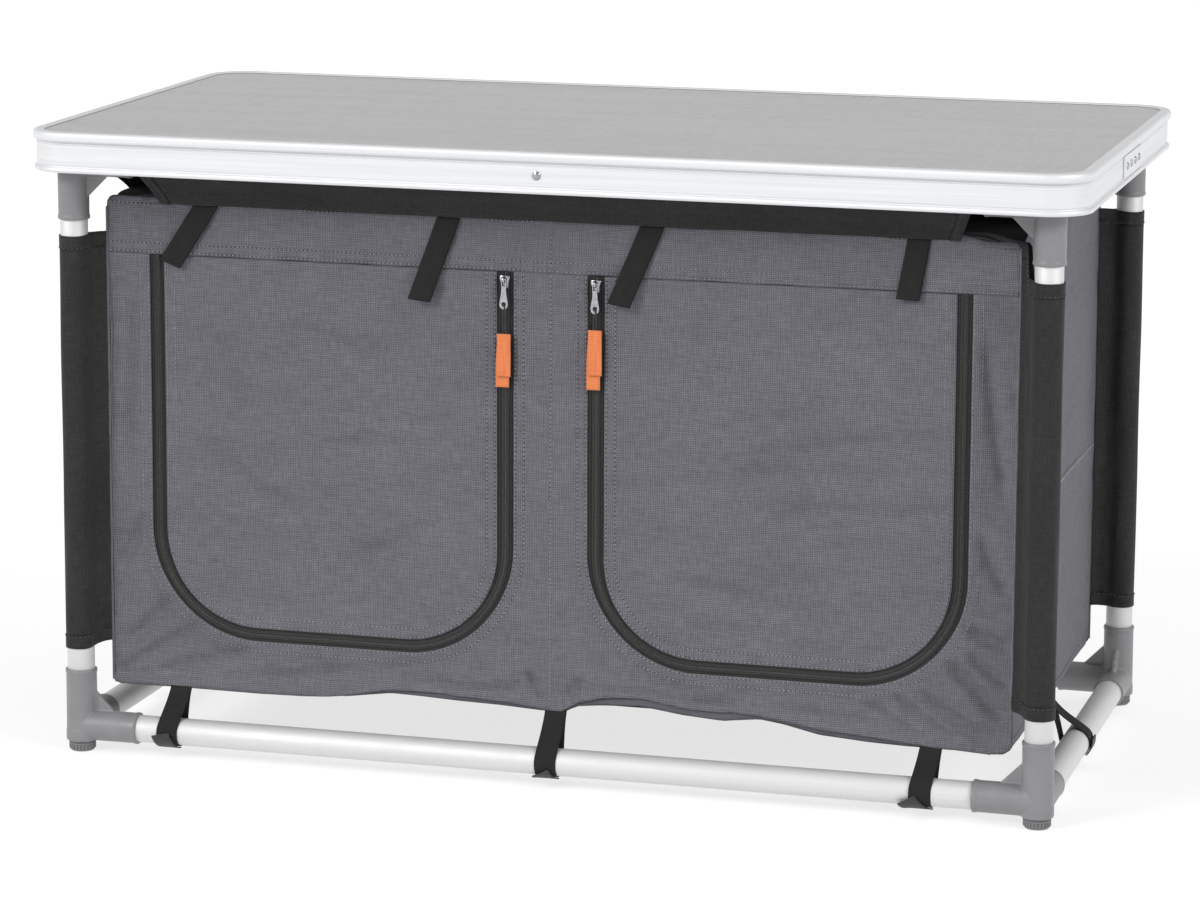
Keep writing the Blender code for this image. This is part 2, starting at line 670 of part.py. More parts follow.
splice_x = TOP_X - BEAD_DEPTH + GAP
splice_z = EDGE_BOTTOM + LOWER_BEAD_HEIGHT + (EDGE_HEIGHT - BEAD_HEIGHT - LOWER_BEAD_HEIGHT) / 2
plate = box_mesh(
    "plate", (0, -SPLICE_LENGTH / 2, -SPLICE_HEIGHT / 2), (SPLICE_THICKNESS, SPLICE_LENGTH / 2, SPLICE_HEIGHT / 2))
heads = []
for number in range(RIVET_COUNT):
    dome = turned_mesh("rivet_head", [
        (0.0, RIVET_RISE), (RIVET_RADIUS * 0.55, RIVET_RISE * 0.82), (RIVET_RADIUS, 0.0),
        (RIVET_RADIUS, -JOIN_OVERLAP / 2), (0.0, -JOIN_OVERLAP / 2)], sides=12, closed=False)
    spot = (SPLICE_THICKNESS, (number - (RIVET_COUNT - 1) / 2) * RIVET_PITCH, 0)
    heads.append(("UNION", transformed(
        dome, Matrix.Translation(spot) @ Matrix.Rotation(math.radians(90), 4, "Y"))))
plate = combine("edge_splice_plate", plate, heads)
attach(smooth(add_mesh("edge_splice_plate", plate, steel, Matrix.Translation((splice_x, 0, splice_z)))), top)

# Fabric cabinet walls
front_middle = -CABINET_Y + FABRIC / 2
front_low = CABINET_BOTTOM - SEAM_Z
front_high = CABINET_TOP + FRONT_TOP_RISE - SEAM_Z
hem = [(share * CABINET_X, front_low + rise) for share, rise in HEM_WAVE]
panel_loops = [hem + [(CABINET_X, front_high), (-CABINET_X, front_high)]]
zip_tops = -ZIP_TOP_GAP
tape_far = ZIP_BAND / 2 + ZIP_TAPE_UNDER
strips = []
for side in (-1, 1):
    opening = zip_path(side, -ZIP_BAND / 2, 0.0)
    panel_loops.append([(side * DOOR_X + a, b) for a, b in opening])
panel = outline_mesh("panel", panel_loops, -FABRIC / 2, FABRIC / 2)
for side in (-1, 1):
    shift = Matrix.Translation((side * DOOR_X, 0, 0))
    tape = outline_mesh(
        "frame_tape", [zip_strip(side, -GAP / 2, -tape_far, ZIP_TAPE_RISE)],
        -FABRIC / 2 - GAP - ZIP_TAPE_THICKNESS, -FABRIC / 2 + JOIN_OVERLAP / 5)
    coil = outline_mesh(
        "frame_coil", [zip_strip(side, -GAP / 2, -ZIP_COIL_WIDTH, zip_tops)],
        -FABRIC / 2 - GAP - ZIP_TAPE_THICKNESS / 2, -FABRIC / 2 - GAP + ZIP_COIL_RISE)
    strip = combine("frame_zip", tape, [("UNION", coil)])
    strips.append(("UNION", transformed(strip, shift)))
panel = combine("front_panel", panel, strips, "MANIFOLD")
add_mesh("front_panel", panel, grey_cloth, facing_front(0, front_middle, SEAM_Z))

box("back_panel", (-CABINET_X, CABINET_Y - FABRIC, CABINET_BOTTOM), (CABINET_X, CABINET_Y, CABINET_TOP), grey_cloth)
box("left_side_panel", (-CABINET_X, -INNER_Y, CABINET_BOTTOM), (-CABINET_X + FABRIC, INNER_Y, CABINET_TOP), grey_cloth)
box("right_side_panel", (CABINET_X - FABRIC, -INNER_Y, CABINET_BOTTOM), (CABINET_X, INNER_Y, CABINET_TOP), grey_cloth)
box("floor_panel", (-INNER_X, -INNER_Y, FLOOR_BOTTOM), (INNER_X, INNER_Y, FLOOR_TOP), stiff_board)
half = DIVIDER_THICKNESS / 2
box("centre_divider", (-half, -INNER_Y, FLOOR_TOP + GAP), (half, INNER_Y, CABINET_TOP), grey_cloth)
shelf_front = -INNER_Y + SHELF_SETBACK
box("left_shelf", (-INNER_X, shelf_front, SHELF_Z), (-half - GAP, INNER_Y, SHELF_Z + SHELF_THICKNESS), stiff_board)
box("right_shelf", (half + GAP, shelf_front, SHELF_Z), (INNER_X, INNER_Y, SHELF_Z + SHELF_THICKNESS), stiff_board)

# Black roof with its side and back sleeves round the upper rails, and the front band round the front rail
rail_sleeve_half = LEG_X - ARM_REACH - RAIL_SLEEVE_END
side_sleeve_half = LEG_Y - ARM_REACH - SIDE_SLEEVE_END
sleeve_half = SLEEVE_WALL * 0.875
roof = box_mesh("roof", (-CABINET_X, -INNER_Y, ROOF_BOTTOM), (CABINET_X, CABINET_Y, ROOF_BOTTOM + ROOF_THICKNESS))
tip_z = ROOF_BOTTOM + ROOF_THICKNESS / 2 + GAP - UPPER_AXIS
back_sleeve = sleeve_mesh(
    "back_sleeve", (CABINET_Y - JOIN_OVERLAP - LEG_Y, tip_z), SLEEVE_SEAM, sleeve_half, -rail_sleeve_half, rail_sleeve_half)
joins = [("UNION", transformed(back_sleeve, along_x(0, LEG_Y, UPPER_AXIS)))]
for side in (-1, 1):
    side_sleeve = sleeve_mesh(
        "side_sleeve", (side * (CABINET_X - ROOF_THICKNESS - LEG_X), tip_z), SLEEVE_SEAM, sleeve_half,
        -side_sleeve_half, side_sleeve_half)
    joins.append(("UNION", transformed(side_sleeve, facing_front(side * LEG_X, 0, UPPER_AXIS))))
smooth(add_mesh("roof_panel", combine("roof_panel", roof, joins), black_cloth, Matrix.Identity(4)))
band = sleeve_mesh(
    "front_rail_sleeve", (CABINET_INSET_Y - GAP - SLEEVE_WALL, -BAND_DROP), BAND_SEAM, sleeve_half,
    -rail_sleeve_half, rail_sleeve_half)
smooth(add_mesh("front_rail_sleeve", band, black_cloth, along_x(0, -LEG_Y, UPPER_AXIS)))

# Black sleeves round the legs, sewn to the cabinet's corners
sleeve_low = LOWER_AXIS + POST_REACH + LEG_SLEEVE_LOW
sleeve_high = UPPER_AXIS - POST_REACH - LEG_SLEEVE_HIGH
for corner, (sx, sy, turn) in CORNERS.items():
    tip = (-sx * (CABINET_INSET_X - 3 * GAP), -sy * (CABINET_INSET_Y + FABRIC / 2))
    mesh = sleeve_mesh(f"leg_sleeve_{corner}", tip, SLEEVE_SEAM, sleeve_half, 0, sleeve_high - sleeve_low)
    smooth(add_mesh(f"leg_sleeve_{corner}", mesh, black_cloth,
                    Matrix.Translation((sx * LEG_X, sy * LEG_Y, sleeve_low))))

# Hook-and-loop ties from the cabinet's bottom edge round the lower rails
tie_tip_z = CABINET_BOTTOM - LOWER_AXIS - 2 * GAP
for name, share in zip(("tie_front_left", "tie_front_middle", "tie_front_right"), TIE_FRONT_SHARES):
    x = share * LEG_X
    rise = min(hem_rise(x + shift * TIE_WIDTH) for shift in (-0.5, -0.25, 0, 0.25, 0.5))
    mesh = sleeve_mesh(
        name, (CABINET_INSET_Y + FABRIC / 2, tie_tip_z + rise), SLEEVE_SEAM, sleeve_half,
        -TIE_WIDTH / 2, TIE_WIDTH / 2)
    smooth(add_mesh(name, mesh, webbing, along_x(x, -LEG_Y, LOWER_AXIS)))
for name, side in (("tie_left", -1), ("tie_right", 1)):
    mesh = sleeve_mesh(
        name, (-side * (CABINET_INSET_X + FABRIC / 2), tie_tip_z), SLEEVE_SEAM, sleeve_half,
        -TIE_WIDTH / 2, TIE_WIDTH / 2)
    smooth(add_mesh(name, mesh, webbing, facing_front(side * LEG_X, TIE_SIDE_SHARE * LEG_Y, LOWER_AXIS)))

# Doors: each hangs from the seam, with its half of the zip, the slider and the pull
for side, label in ((-1, "left"), (1, "right")):
    hinge = empty(f"{label}_door_hinge", (side * DOOR_X, -CABINET_Y, SEAM_Z))
    door = outline_mesh(f"{label}_door", [zip_path(side, ZIP_BAND / 2, -GAP)], -FABRIC, 0)
    attach(add_mesh(f"{label}_door", door, grey_cloth, facing_front(side * DOOR_X, -CABINET_Y, SEAM_Z)), hinge)
    tape = outline_mesh(
        "door_tape", [zip_strip(side, GAP / 2, tape_far, zip_tops)],
        -FABRIC - GAP - ZIP_TAPE_THICKNESS, -FABRIC - GAP)
    coil = outline_mesh(
        "door_coil", [zip_strip(side, GAP / 2 + 0.0001, ZIP_COIL_WIDTH, zip_tops - 0.0002)],
        -FABRIC - GAP - ZIP_TAPE_THICKNESS / 2, -FABRIC - GAP + ZIP_COIL_RISE)
    mesh = combine(f"{label}_door_zip", tape, [("UNION", coil)])
    attach(add_mesh(f"{label}_door_zip", mesh, zip_tape, facing_front(side * DOOR_X, -CABINET_Y, SEAM_Z)), hinge)

    coil_front = -CABINET_Y + FABRIC + GAP - ZIP_COIL_RISE
    back = min(coil_front, -CABINET_Y) - GAP
    body_front = back - SLIDER_THICKNESS
    pivot = (side * ZIP_INNER_X, body_front - ARCH_HOLE / 2, SEAM_Z - SLIDER_DROP + SLIDER_LENGTH / 6)
    body = box_mesh(
        "slider_body", (-SLIDER_WIDTH / 2, body_front - pivot[1], -SLIDER_LENGTH * 2 / 3),
        (SLIDER_WIDTH / 2, back - pivot[1], SLIDER_LENGTH / 3))
    reach = ARCH_HOLE / 2 + ARCH_WALL
    arch = box_mesh("arch", (-ARCH_WIDTH / 2, -reach, -reach), (ARCH_WIDTH / 2, ARCH_HOLE / 2 + JOIN_OVERLAP / 2, reach))
    hole = box_mesh(
        "arch_hole", (-ARCH_WIDTH, -ARCH_HOLE / 2, -ARCH_HOLE / 2), (ARCH_WIDTH, ARCH_HOLE / 2, ARCH_HOLE / 2))
    arch = combine("arch", arch, [("DIFFERENCE", hole)])
    slider = combine(f"{label}_zip_slider", body, [("UNION", arch)])
    attach(add_mesh(f"{label}_zip_slider", slider, slider_metal, Matrix.Translation(pivot)), hinge)

    bar = PULL_BAR / 2
    window = ARCH_WIDTH / 2 + PULL_PLAY
    tongue = [(-PULL_WIDTH / 2, bar), (-PULL_WIDTH / 2, -PULL_LENGTH), (PULL_WIDTH / 2, -PULL_LENGTH),
              (PULL_WIDTH / 2, bar)]
    slot = [(-window, -bar), (-window, -bar - PULL_WINDOW), (window, -bar - PULL_WINDOW), (window, -bar)]
    plate = outline_mesh("tongue", [tongue, slot], -PULL_THICKNESS / 2, PULL_THICKNESS / 2)
    tab = box_mesh(
        "tab", (-TAB_WIDTH / 2, -PULL_LENGTH + TAB_OVERLAP - TAB_LENGTH, -TAB_THICKNESS / 2),
        (TAB_WIDTH / 2, -PULL_LENGTH + TAB_OVERLAP, TAB_THICKNESS / 2))
    pull = combine(f"{label}_zip_pull", plate, [("UNION", tab)])
    attach(add_mesh(f"{label}_zip_pull", pull, orange_web, facing_front(*pivot)), hinge)

# Roll-up straps that hang from under the front band and lie over the doors' top edges
for name, side, share, slant, drop in STRAPS:
    run = Vector((slant, -drop)).normalized()
    across = Vector((-run.y, run.x)) * STRAP_WIDTH / 2
    half_top = across.length / math.cos(math.atan2(slant, drop))
    end = Vector((slant, -drop))
    outline = [(-half_top, 0.0), tuple(end - across), tuple(end + across), (half_top, 0.0)]
    mesh = outline_mesh(name, [outline], -STRAP_THICKNESS / 2, STRAP_THICKNESS / 2)
    x = side * DOOR_X + share * DOOR_HALF
    add_mesh(name, mesh, webbing, facing_front(x, STRAP_Y, STRAP_TOP))
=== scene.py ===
"""Camping cupboard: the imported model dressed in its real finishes.

Metres, +Z up, the front with the two zipped doors faces -Y. Cloth pieces carry a UV map named "cloth" whose
numbers are metres on the cloth, so a weave keeps its thread size on every piece.
"""
import math

import bmesh
import bpy
import numpy as np
from mathutils import Matrix, Vector, noise
from mathutils.geometry import delaunay_2d_cdt


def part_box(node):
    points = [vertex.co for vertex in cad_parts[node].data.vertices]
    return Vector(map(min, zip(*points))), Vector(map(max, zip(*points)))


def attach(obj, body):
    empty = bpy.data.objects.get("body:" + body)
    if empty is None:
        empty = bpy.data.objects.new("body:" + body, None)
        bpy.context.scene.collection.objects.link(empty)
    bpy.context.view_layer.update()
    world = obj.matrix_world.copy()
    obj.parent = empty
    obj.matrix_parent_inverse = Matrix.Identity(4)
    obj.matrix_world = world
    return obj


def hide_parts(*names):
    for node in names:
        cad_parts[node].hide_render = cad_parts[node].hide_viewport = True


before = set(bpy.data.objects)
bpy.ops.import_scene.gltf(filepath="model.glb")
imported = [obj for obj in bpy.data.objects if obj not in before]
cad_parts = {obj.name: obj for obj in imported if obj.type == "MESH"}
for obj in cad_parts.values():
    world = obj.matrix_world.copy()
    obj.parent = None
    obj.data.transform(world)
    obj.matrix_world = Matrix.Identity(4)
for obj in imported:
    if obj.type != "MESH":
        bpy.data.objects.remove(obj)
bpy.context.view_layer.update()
scene = bpy.context.scene

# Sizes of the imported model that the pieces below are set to
LEG_X, LEG_Y = 0.4630, 0.2280
TOP_X, TOP_Y, TOP_Z = 0.5015, 0.2650, 0.6000
TOP_CORNER = 0.0420
TUBE = 0.0130
SOCKET = 0.0148
ARM_REACH = 0.0590
POST_REACH = 0.0557
GUSSET = 0.0195
LOWER_AXIS, UPPER_AXIS = 0.0247, 0.5700
CAB_X, CAB_Y = 0.4355, 0.2150
CAB_LOW, CAB_TOP = 0.0640, 0.5340
FRONT_TOP = 0.5380
SEAM_Z = 0.4820
ZIP_INNER, ZIP_OUTER, ZIP_LOW, ZIP_RADIUS = 0.0435, 0.3855, 0.1215, 0.0980
ZIP_HALF = 0.0085
SHELF_Z = 0.2665
SLEEVE_RADIUS = 0.0137
CLOTH = 0.0012
THREAD_LIFT = 0.0002
ROOF_Z, SLEEVE_TIP_Z, TURNED_IN_Z = 0.5355, 0.5352, 0.5363
# Pairs of a place across the front, as a share of CAB_X, and metres: the wave of the front's bottom edge, and
# how far above it the cloth ends where the bottom fold shows
HEM_WAVE = (
    (-1.0, 0.0), (-0.84, 0.0006), (-0.66, 0.0002), (-0.56, 0.0010), (-0.46, 0.0036), (-0.36, 0.0098),
    (-0.29, 0.0092), (-0.20, 0.0074), (-0.11, 0.0065), (-0.01, 0.0043), (0.03, 0.0046), (0.06, 0.0110),
    (0.11, 0.0135), (0.20, 0.0155), (0.29, 0.0104), (0.38, 0.0077), (0.46, 0.0120), (0.51, 0.0091),
    (0.59, 0.0016), (0.69, -0.0015), (0.78, -0.0028), (0.88, -0.0020), (0.95, -0.0036), (1.0, -0.0020),
)
FOLD_DROP = (
    (-1.0, 0.0), (-0.50, 0.0), (-0.40, 0.0030), (-0.25, 0.0060), (-0.08, 0.0040), (0.02, 0.0010),
    (0.05, 0.0030), (0.12, 0.0080), (0.20, 0.0080), (0.31, 0.0072), (0.40, 0.0085), (0.46, 0.0035),
    (0.50, 0.0035), (0.58, 0.0055), (0.68, 0.0060), (0.76, 0.0045), (0.86, 0.0), (1.0, 0.0),
)
CORNERS = {"front_left": (-1, -1), "front_right": (1, -1), "back_right": (1, 1), "back_left": (-1, 1)}
SIDES = ((-1, "left"), (1, "right"))
CABINET = "frame_and_cabinet"


# Small tools
def linear(code):
    """An sRGB hex value as the linear colour that the shaders take."""
    parts = [int(code[i:i + 2], 16) / 255 for i in (1, 3, 5)]
    return (*[p / 12.92 if p <= 0.04045 else ((p + 0.055) / 1.055) ** 2.4 for p in parts], 1.0)


def node(tree, kind, settings=None, inputs=None):
    """Adds one node: its settings, then each input as a value or as the node or socket that feeds it."""
    made = tree.nodes.new(kind)
    for name, value in (settings or {}).items():
        setattr(made, name, value)
    for name, value in (inputs or {}).items():
        if isinstance(value, bpy.types.Node):
            value = next(out for out in value.outputs if out.enabled)
        if isinstance(value, bpy.types.NodeSocket):
            tree.links.new(value, made.inputs[name])
        else:
            made.inputs[name].default_value = value
    return made


def finish(build):
    """Makes the material that build(tree) describes. Its Height is in metres and becomes the bump."""
    made = bpy.data.materials.new(build.__name__)
    made.use_nodes = True
    tree = made.node_tree
    tree.nodes.clear()
    inputs = build(tree)
    if "Height" in inputs:
        inputs["Normal"] = node(tree, "ShaderNodeBump", {}, {
            "Strength": 1.0, "Distance": 1.0, "Height": inputs.pop("Height")})
    surface = node(tree, "ShaderNodeBsdfPrincipled", {}, inputs)
    node(tree, "ShaderNodeOutputMaterial", {}, {"Surface": surface})
    return made


def between(table, share):
    """The value of a table of (place, value) pairs at a place, in straight steps."""
    for (a, low), (b, high) in zip(table, table[1:]):
        if a <= share <= b:
            return low + (high - low) * (share - a) / (b - a)
    return table[-1][1] if share > table[-1][0] else table[0][1]


def eased(share):
    """0 to 1 with a soft start and end."""
    share = max(0.0, min(1.0, share))
    return share * share * (3 - 2 * share)


def swell(a, b, seed, size):
    """Slow unevenness from 0 to 1 with a little finer crease in it."""
    slow = noise.noise(Vector((a / size, b / size, seed)))
    fine = noise.noise(Vector((a / size * 3.3, b / size * 3.3, seed + 9.0)))
    return max(0.0, min(1.0, 0.5 + 0.75 * slow + 0.25 * fine))


def creases(a, b, lines):
    """Soft folds from (a0, b0) to (a1, b1), each with a half width and a depth, fading at both ends."""
    total = 0.0
    for a0, b0, a1, b1, half, depth in lines:
        run_a, run_b = a1 - a0, b1 - b0
        length = math.hypot(run_a, run_b)
        along = ((a - a0) * run_a + (b - b0) * run_b) / length ** 2
        if -0.25 < along < 1.25:
            off = ((a - a0) * -run_b + (b - b0) * run_a) / length
            fade = eased(along / 0.3 + 0.4) * eased((1 - along) / 0.3 + 0.4)
            total += depth * fade * math.exp(-(off / half) ** 2)
    return total


def linked(name, data):
    """Adds a mesh, light or camera to the scene as an object."""
    made = bpy.data.objects.new(name, data)
    scene.collection.objects.link(made)
    return made


def shown(name, mesh, smooth):
    """Adds a mesh to the scene, shaded smooth up to an angle in degrees."""
    made = linked(name, mesh)
    for face in mesh.polygons:
        face.use_smooth = True
    mesh.set_sharp_from_angle(angle=math.radians(smooth))
    return made


def evaluated(piece):
    """The plain mesh that a piece's modifiers make."""
    bpy.context.view_layer.update()
    return bpy.data.meshes.new_from_object(piece.evaluated_get(bpy.context.evaluated_depsgraph_get()))


def settled(piece, *steps):
    """Runs modifiers on a piece and keeps their result as its plain mesh."""
    for kind, settings in steps:
        step = piece.modifiers.new(kind.lower(), kind)
        for name, value in settings.items():
            setattr(step, name, value)
    old = piece.data
    new = evaluated(piece)
    piece.modifiers.clear()
    piece.data = new
    bpy.data.meshes.remove(old)


def rounded(piece, width, segments):
    """Rounds a piece's sharp edges."""
    settled(piece, ("BEVEL", {"width": width, "segments": segments, "angle_limit": math.radians(50)}))


def girth(ring):
    """The length once round a ring of points."""
    return sum((Vector(b) - Vector(a)).length for a, b in zip(ring, ring[1:] + ring[:1]))


def face_toward(shape, facing):
    """Turns the faces of an open net so that most of them look one way."""
    shape.normal_update()
    if sum(face.normal.dot(Vector(facing)) * face.calc_area() for face in shape.faces) < 0:
        bmesh.ops.reverse_faces(shape, faces=shape.faces)


def as_piece(name, shape, look, smooth):
    """Turns a net into a shown piece with one finish."""
    mesh = bpy.data.meshes.new(name)
    shape.to_mesh(mesh)
    shape.free()
    mesh.materials.append(look)
    return shown(name, mesh, smooth)


def skin(name, rings, look, ring_closed=True, run_closed=False, capped=True, wall=0.0, facing=None,
         smooth=40):
    """Faces between rings of points, mapped in metres round and along them, and thickened by a wall."""
    shape = bmesh.new()
    chart = shape.loops.layers.uv.new("cloth")
    grid = [[shape.verts.new(p) for p in ring] for ring in rings]
    count, rows = len(rings[0]), len(rings)
    middle = [Vector(p) for p in min(rings[0], rings[rows // 2], key=girth)]
    around = [0.0]
    for j in range(count):
        around.append(around[-1] + (middle[(j + 1) % count] - middle[j]).length)
    along = [0.0]
    for i in range(rows):
        near, far = rings[i], rings[(i + 1) % rows]
        step = sum((Vector(far[j]) - Vector(near[j])).length for j in (0, count // 3, count // 2)) / 3
        along.append(along[-1] + step)
    for i in range(rows if run_closed else rows - 1):
        k = (i + 1) % rows
        for j in range(count if ring_closed else count - 1):
            m = (j + 1) % count
            face = shape.faces.new((grid[i][j], grid[i][m], grid[k][m], grid[k][j]))
            spots = ((around[j], along[i]), (around[j + 1], along[i]), (around[j + 1], along[i + 1]),
                     (around[j], along[i + 1]))
            for loop, spot in zip(face.loops, spots):
                loop[chart].uv = spot
    if ring_closed and capped and not run_closed:
        for ring in (grid[0], grid[-1][::-1]):
            face = shape.faces.new(ring)
            for loop in face.loops:
                loop[chart].uv = (loop.vert.co.x + loop.vert.co.y, loop.vert.co.z)
    if facing is None:
        bmesh.ops.recalc_face_normals(shape, faces=shape.faces)
    else:
        face_toward(shape, facing)
    sum(face.calc_area() for face in shape.faces)
    made = as_piece(name, shape, look, smooth)
    if wall:
        settled(made, ("SOLIDIFY", {"thickness": wall, "offset": 0.0, "use_even_offset": True}))
    return made


def stepped(loop, spacing):
    """A closed outline with points no further apart than the spacing."""
    out = []
    for (a0, b0), (a1, b1) in zip(loop, loop[1:] + loop[:1]):
        count = max(1, math.ceil(math.hypot(a1 - a0, b1 - b0) / spacing))
        out += [(a0 + (a1 - a0) * i / count, b0 + (b1 - b0) * i / count) for i in range(count)]
    return out


def inside(points, loop):
    """Which points lie inside a closed outline."""
    hit = np.zeros(len(points), bool)
    ring = np.array(loop)
    for (a0, b0), (a1, b1) in zip(ring, np.roll(ring, -1, 0)):
        if b0 != b1:
            crosses = (points[:, 1] > b0) != (points[:, 1] > b1)
            hit ^= crosses & (points[:, 0] < (a1 - a0) * (points[:, 1] - b0) / (b1 - b0) + a0)
    return hit


def in_cut(points, loops):
    """Which points lie on a cut: inside the first loop, its outline, and outside the others, its holes."""
    hit = inside(points, loops[0])
    for loop in loops[1:]:
        hit &= ~inside(points, loop)
    return hit


def cut_piece(name, outline, place, look, holes=(), spacing=0.005, wall=CLOTH, facing=(0, -1, 0)):
    """A flat cut with holes: a fine net whose points place(a, b) sets in space, given a thickness."""
    loops = [stepped(list(loop), spacing) for loop in (outline, *holes)]
    points, edges = [], []
    for loop in loops:
        first = len(points)
        points += loop
        edges += [(first + i, first + (i + 1) % len(loop)) for i in range(len(loop))]
    edge_points = np.array(points)
    low, high = edge_points.min(0), edge_points.max(0)
    columns, rows = (np.arange(low[i] + spacing / 2, high[i], spacing) for i in (0, 1))
    grid = np.stack(np.meshgrid(columns, rows), -1).reshape(-1, 2)
    grid = grid[in_cut(grid, loops)]
    for part in np.array_split(edge_points, max(1, len(edge_points) // 200)):
        near = np.abs(grid[:, None, :] - part[None]).max(-1).min(-1) < spacing * 0.45
        grid = grid[~near]
    points += [tuple(p) for p in grid]
    verts, _, faces = delaunay_2d_cdt([Vector(p) for p in points], edges, [], 0, 1e-7)[:3]
    flat = np.array([tuple(v) for v in verts])
    middles = np.array([flat[list(f)].mean(0) for f in faces])
    shape = bmesh.new()
    chart = shape.loops.layers.uv.new("cloth")
    made = [shape.verts.new(place(a, b)) for a, b in flat]
    for corners, good in zip(faces, in_cut(middles, loops)):
        if good:
            face = shape.faces.new([made[i] for i in corners])
            for loop, i in zip(face.loops, corners):
                loop[chart].uv = flat[i]
    bmesh.ops.delete(shape, geom=[v for v in shape.verts if not v.link_faces], context="VERTS")
    face_toward(shape, facing)
    sum(face.calc_area() for face in shape.faces)
    piece = as_piece(name, shape, look, 50)
    settled(piece, ("SOLIDIFY", {"thickness": wall, "offset": -1.0}))
    return piece


def merged(name, pieces, meshes=()):
    """Puts finished pieces and plain meshes together as one piece, with their finishes kept."""
    shape = bmesh.new()
    looks = []
    for mesh in (*[piece.data for piece in pieces], *meshes):
        first = len(shape.faces)
        shape.from_mesh(mesh)
        shape.faces.ensure_lookup_table()
        for face in shape.faces[first:]:
            look = mesh.materials[face.material_index]
            if look not in looks:
                looks.append(look)
            face.material_index = looks.index(look)
    mesh = bpy.data.meshes.new(name)
    shape.to_mesh(mesh)
    shape.free()
    for look in looks:
        mesh.materials.append(look)
    for piece in pieces:
        bpy.data.objects.remove(piece)
    return linked(name, mesh)


def moved(mesh, matrix):
    """A copy of a mesh at another place. A mirrored copy gets its faces turned back out."""
    copy = mesh.copy()
    copy.transform(matrix)
    if matrix.determinant() < 0:
        copy.flip_normals()
    return copy


def circle(radius, count):
    """Points round a circle."""
    angles = [2 * math.pi * i / count for i in range(count)]
    return [(radius * math.cos(angle), radius * math.sin(angle)) for angle in angles]


def tube_along(name, path, radius, look, sides, closed=False):
    """A round tube along a path of points."""
    path = [Vector(p) for p in path]
    rings = []
    up = Vector((0.31, 0.11, 0.94)).normalized()
    for i, spot in enumerate(path):
        ahead = path[(i + 1) % len(path)] if closed or i + 1 < len(path) else spot
        behind = path[i - 1] if closed or i else spot
        run = (ahead - behind).normalized()
        first = run.cross(up).normalized()
        up = first.cross(run).normalized()
        rings.append([spot + first * a + up * b for a, b in circle(radius, sides)])
    return skin(name, rings, look, run_closed=closed)


def fitted(piece, body=CABINET, replaces=None):
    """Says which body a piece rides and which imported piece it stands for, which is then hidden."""
    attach(piece, body)
    if replaces:
        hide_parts(replaces)


# Geometry nodes: a small shape set on points, such as stitches, zip teeth and rivets
def tree_with(name, sockets):
    """An empty tree with the given inputs and one shape given out, and the outputs of its input node."""
    tree = bpy.data.node_groups.new(name, "GeometryNodeTree")
    for label, kind in sockets:
        tree.interface.new_socket(label, in_out="INPUT", socket_type="NodeSocket" + kind)
    tree.interface.new_socket("Made", in_out="OUTPUT", socket_type="NodeSocketGeometry")
    return tree, node(tree, "NodeGroupInput").outputs


def set_on_points(tree, spots, shape, turn, look):
    """Ends a tree: the shape on every point, turned, made real and given its finish."""
    soft = node(tree, "GeometryNodeSetShadeSmooth", {}, {"Geometry": shape})
    laid = node(tree, "GeometryNodeInstanceOnPoints", {}, {
        "Points": spots, "Instance": soft, "Rotation": turn})
    real = node(tree, "GeometryNodeRealizeInstances", {}, {"Geometry": laid})
    dressed = node(tree, "GeometryNodeSetMaterial", {}, {"Geometry": real, "Material": look})
    node(tree, "NodeGroupOutput", {}, {"Made": dressed})
    return tree


def run_tree(tree, points, edges, values):
    """Runs a tree on points and gives its plain mesh."""
    mesh = bpy.data.meshes.new("points")
    mesh.from_pydata([tuple(p) for p in points], edges, [])
    carrier = linked("points", mesh)
    step = carrier.modifiers.new("tree", "NODES")
    step.node_group = tree
    for socket in tree.interface.items_tree:
        if socket.name in values:
            step[socket.identifier] = values[socket.name]
    made = evaluated(carrier)
    bpy.data.objects.remove(carrier)
    return made


def row_of_bars_tree():
    """Rounded bars along rows of points, each turned along its row."""
    tree, given = tree_with("row_of_bars", (
        ("Rows", "Geometry"), ("Pitch", "Float"), ("Bar size", "Vector"), ("Facing", "Vector"),
        ("Finish", "Material")))
    line = node(tree, "GeometryNodeMeshToCurve", {}, {"Mesh": given["Rows"]})
    spots = node(tree, "GeometryNodeResampleCurve", {"mode": "LENGTH"}, {
        "Curve": line, "Length": given["Pitch"]})
    turn = node(tree, "FunctionNodeAxesToRotation", {"primary_axis": "X", "secondary_axis": "Z"},
                {0: node(tree, "GeometryNodeInputTangent"), 1: given["Facing"]})
    bar = node(tree, "GeometryNodeMeshUVSphere", {}, {"Segments": 6, "Rings": 4, "Radius": 0.5})
    sized = node(tree, "GeometryNodeTransform", {}, {"Geometry": bar, "Scale": given["Bar size"]})
    return set_on_points(tree, spots, sized, turn, given["Finish"])


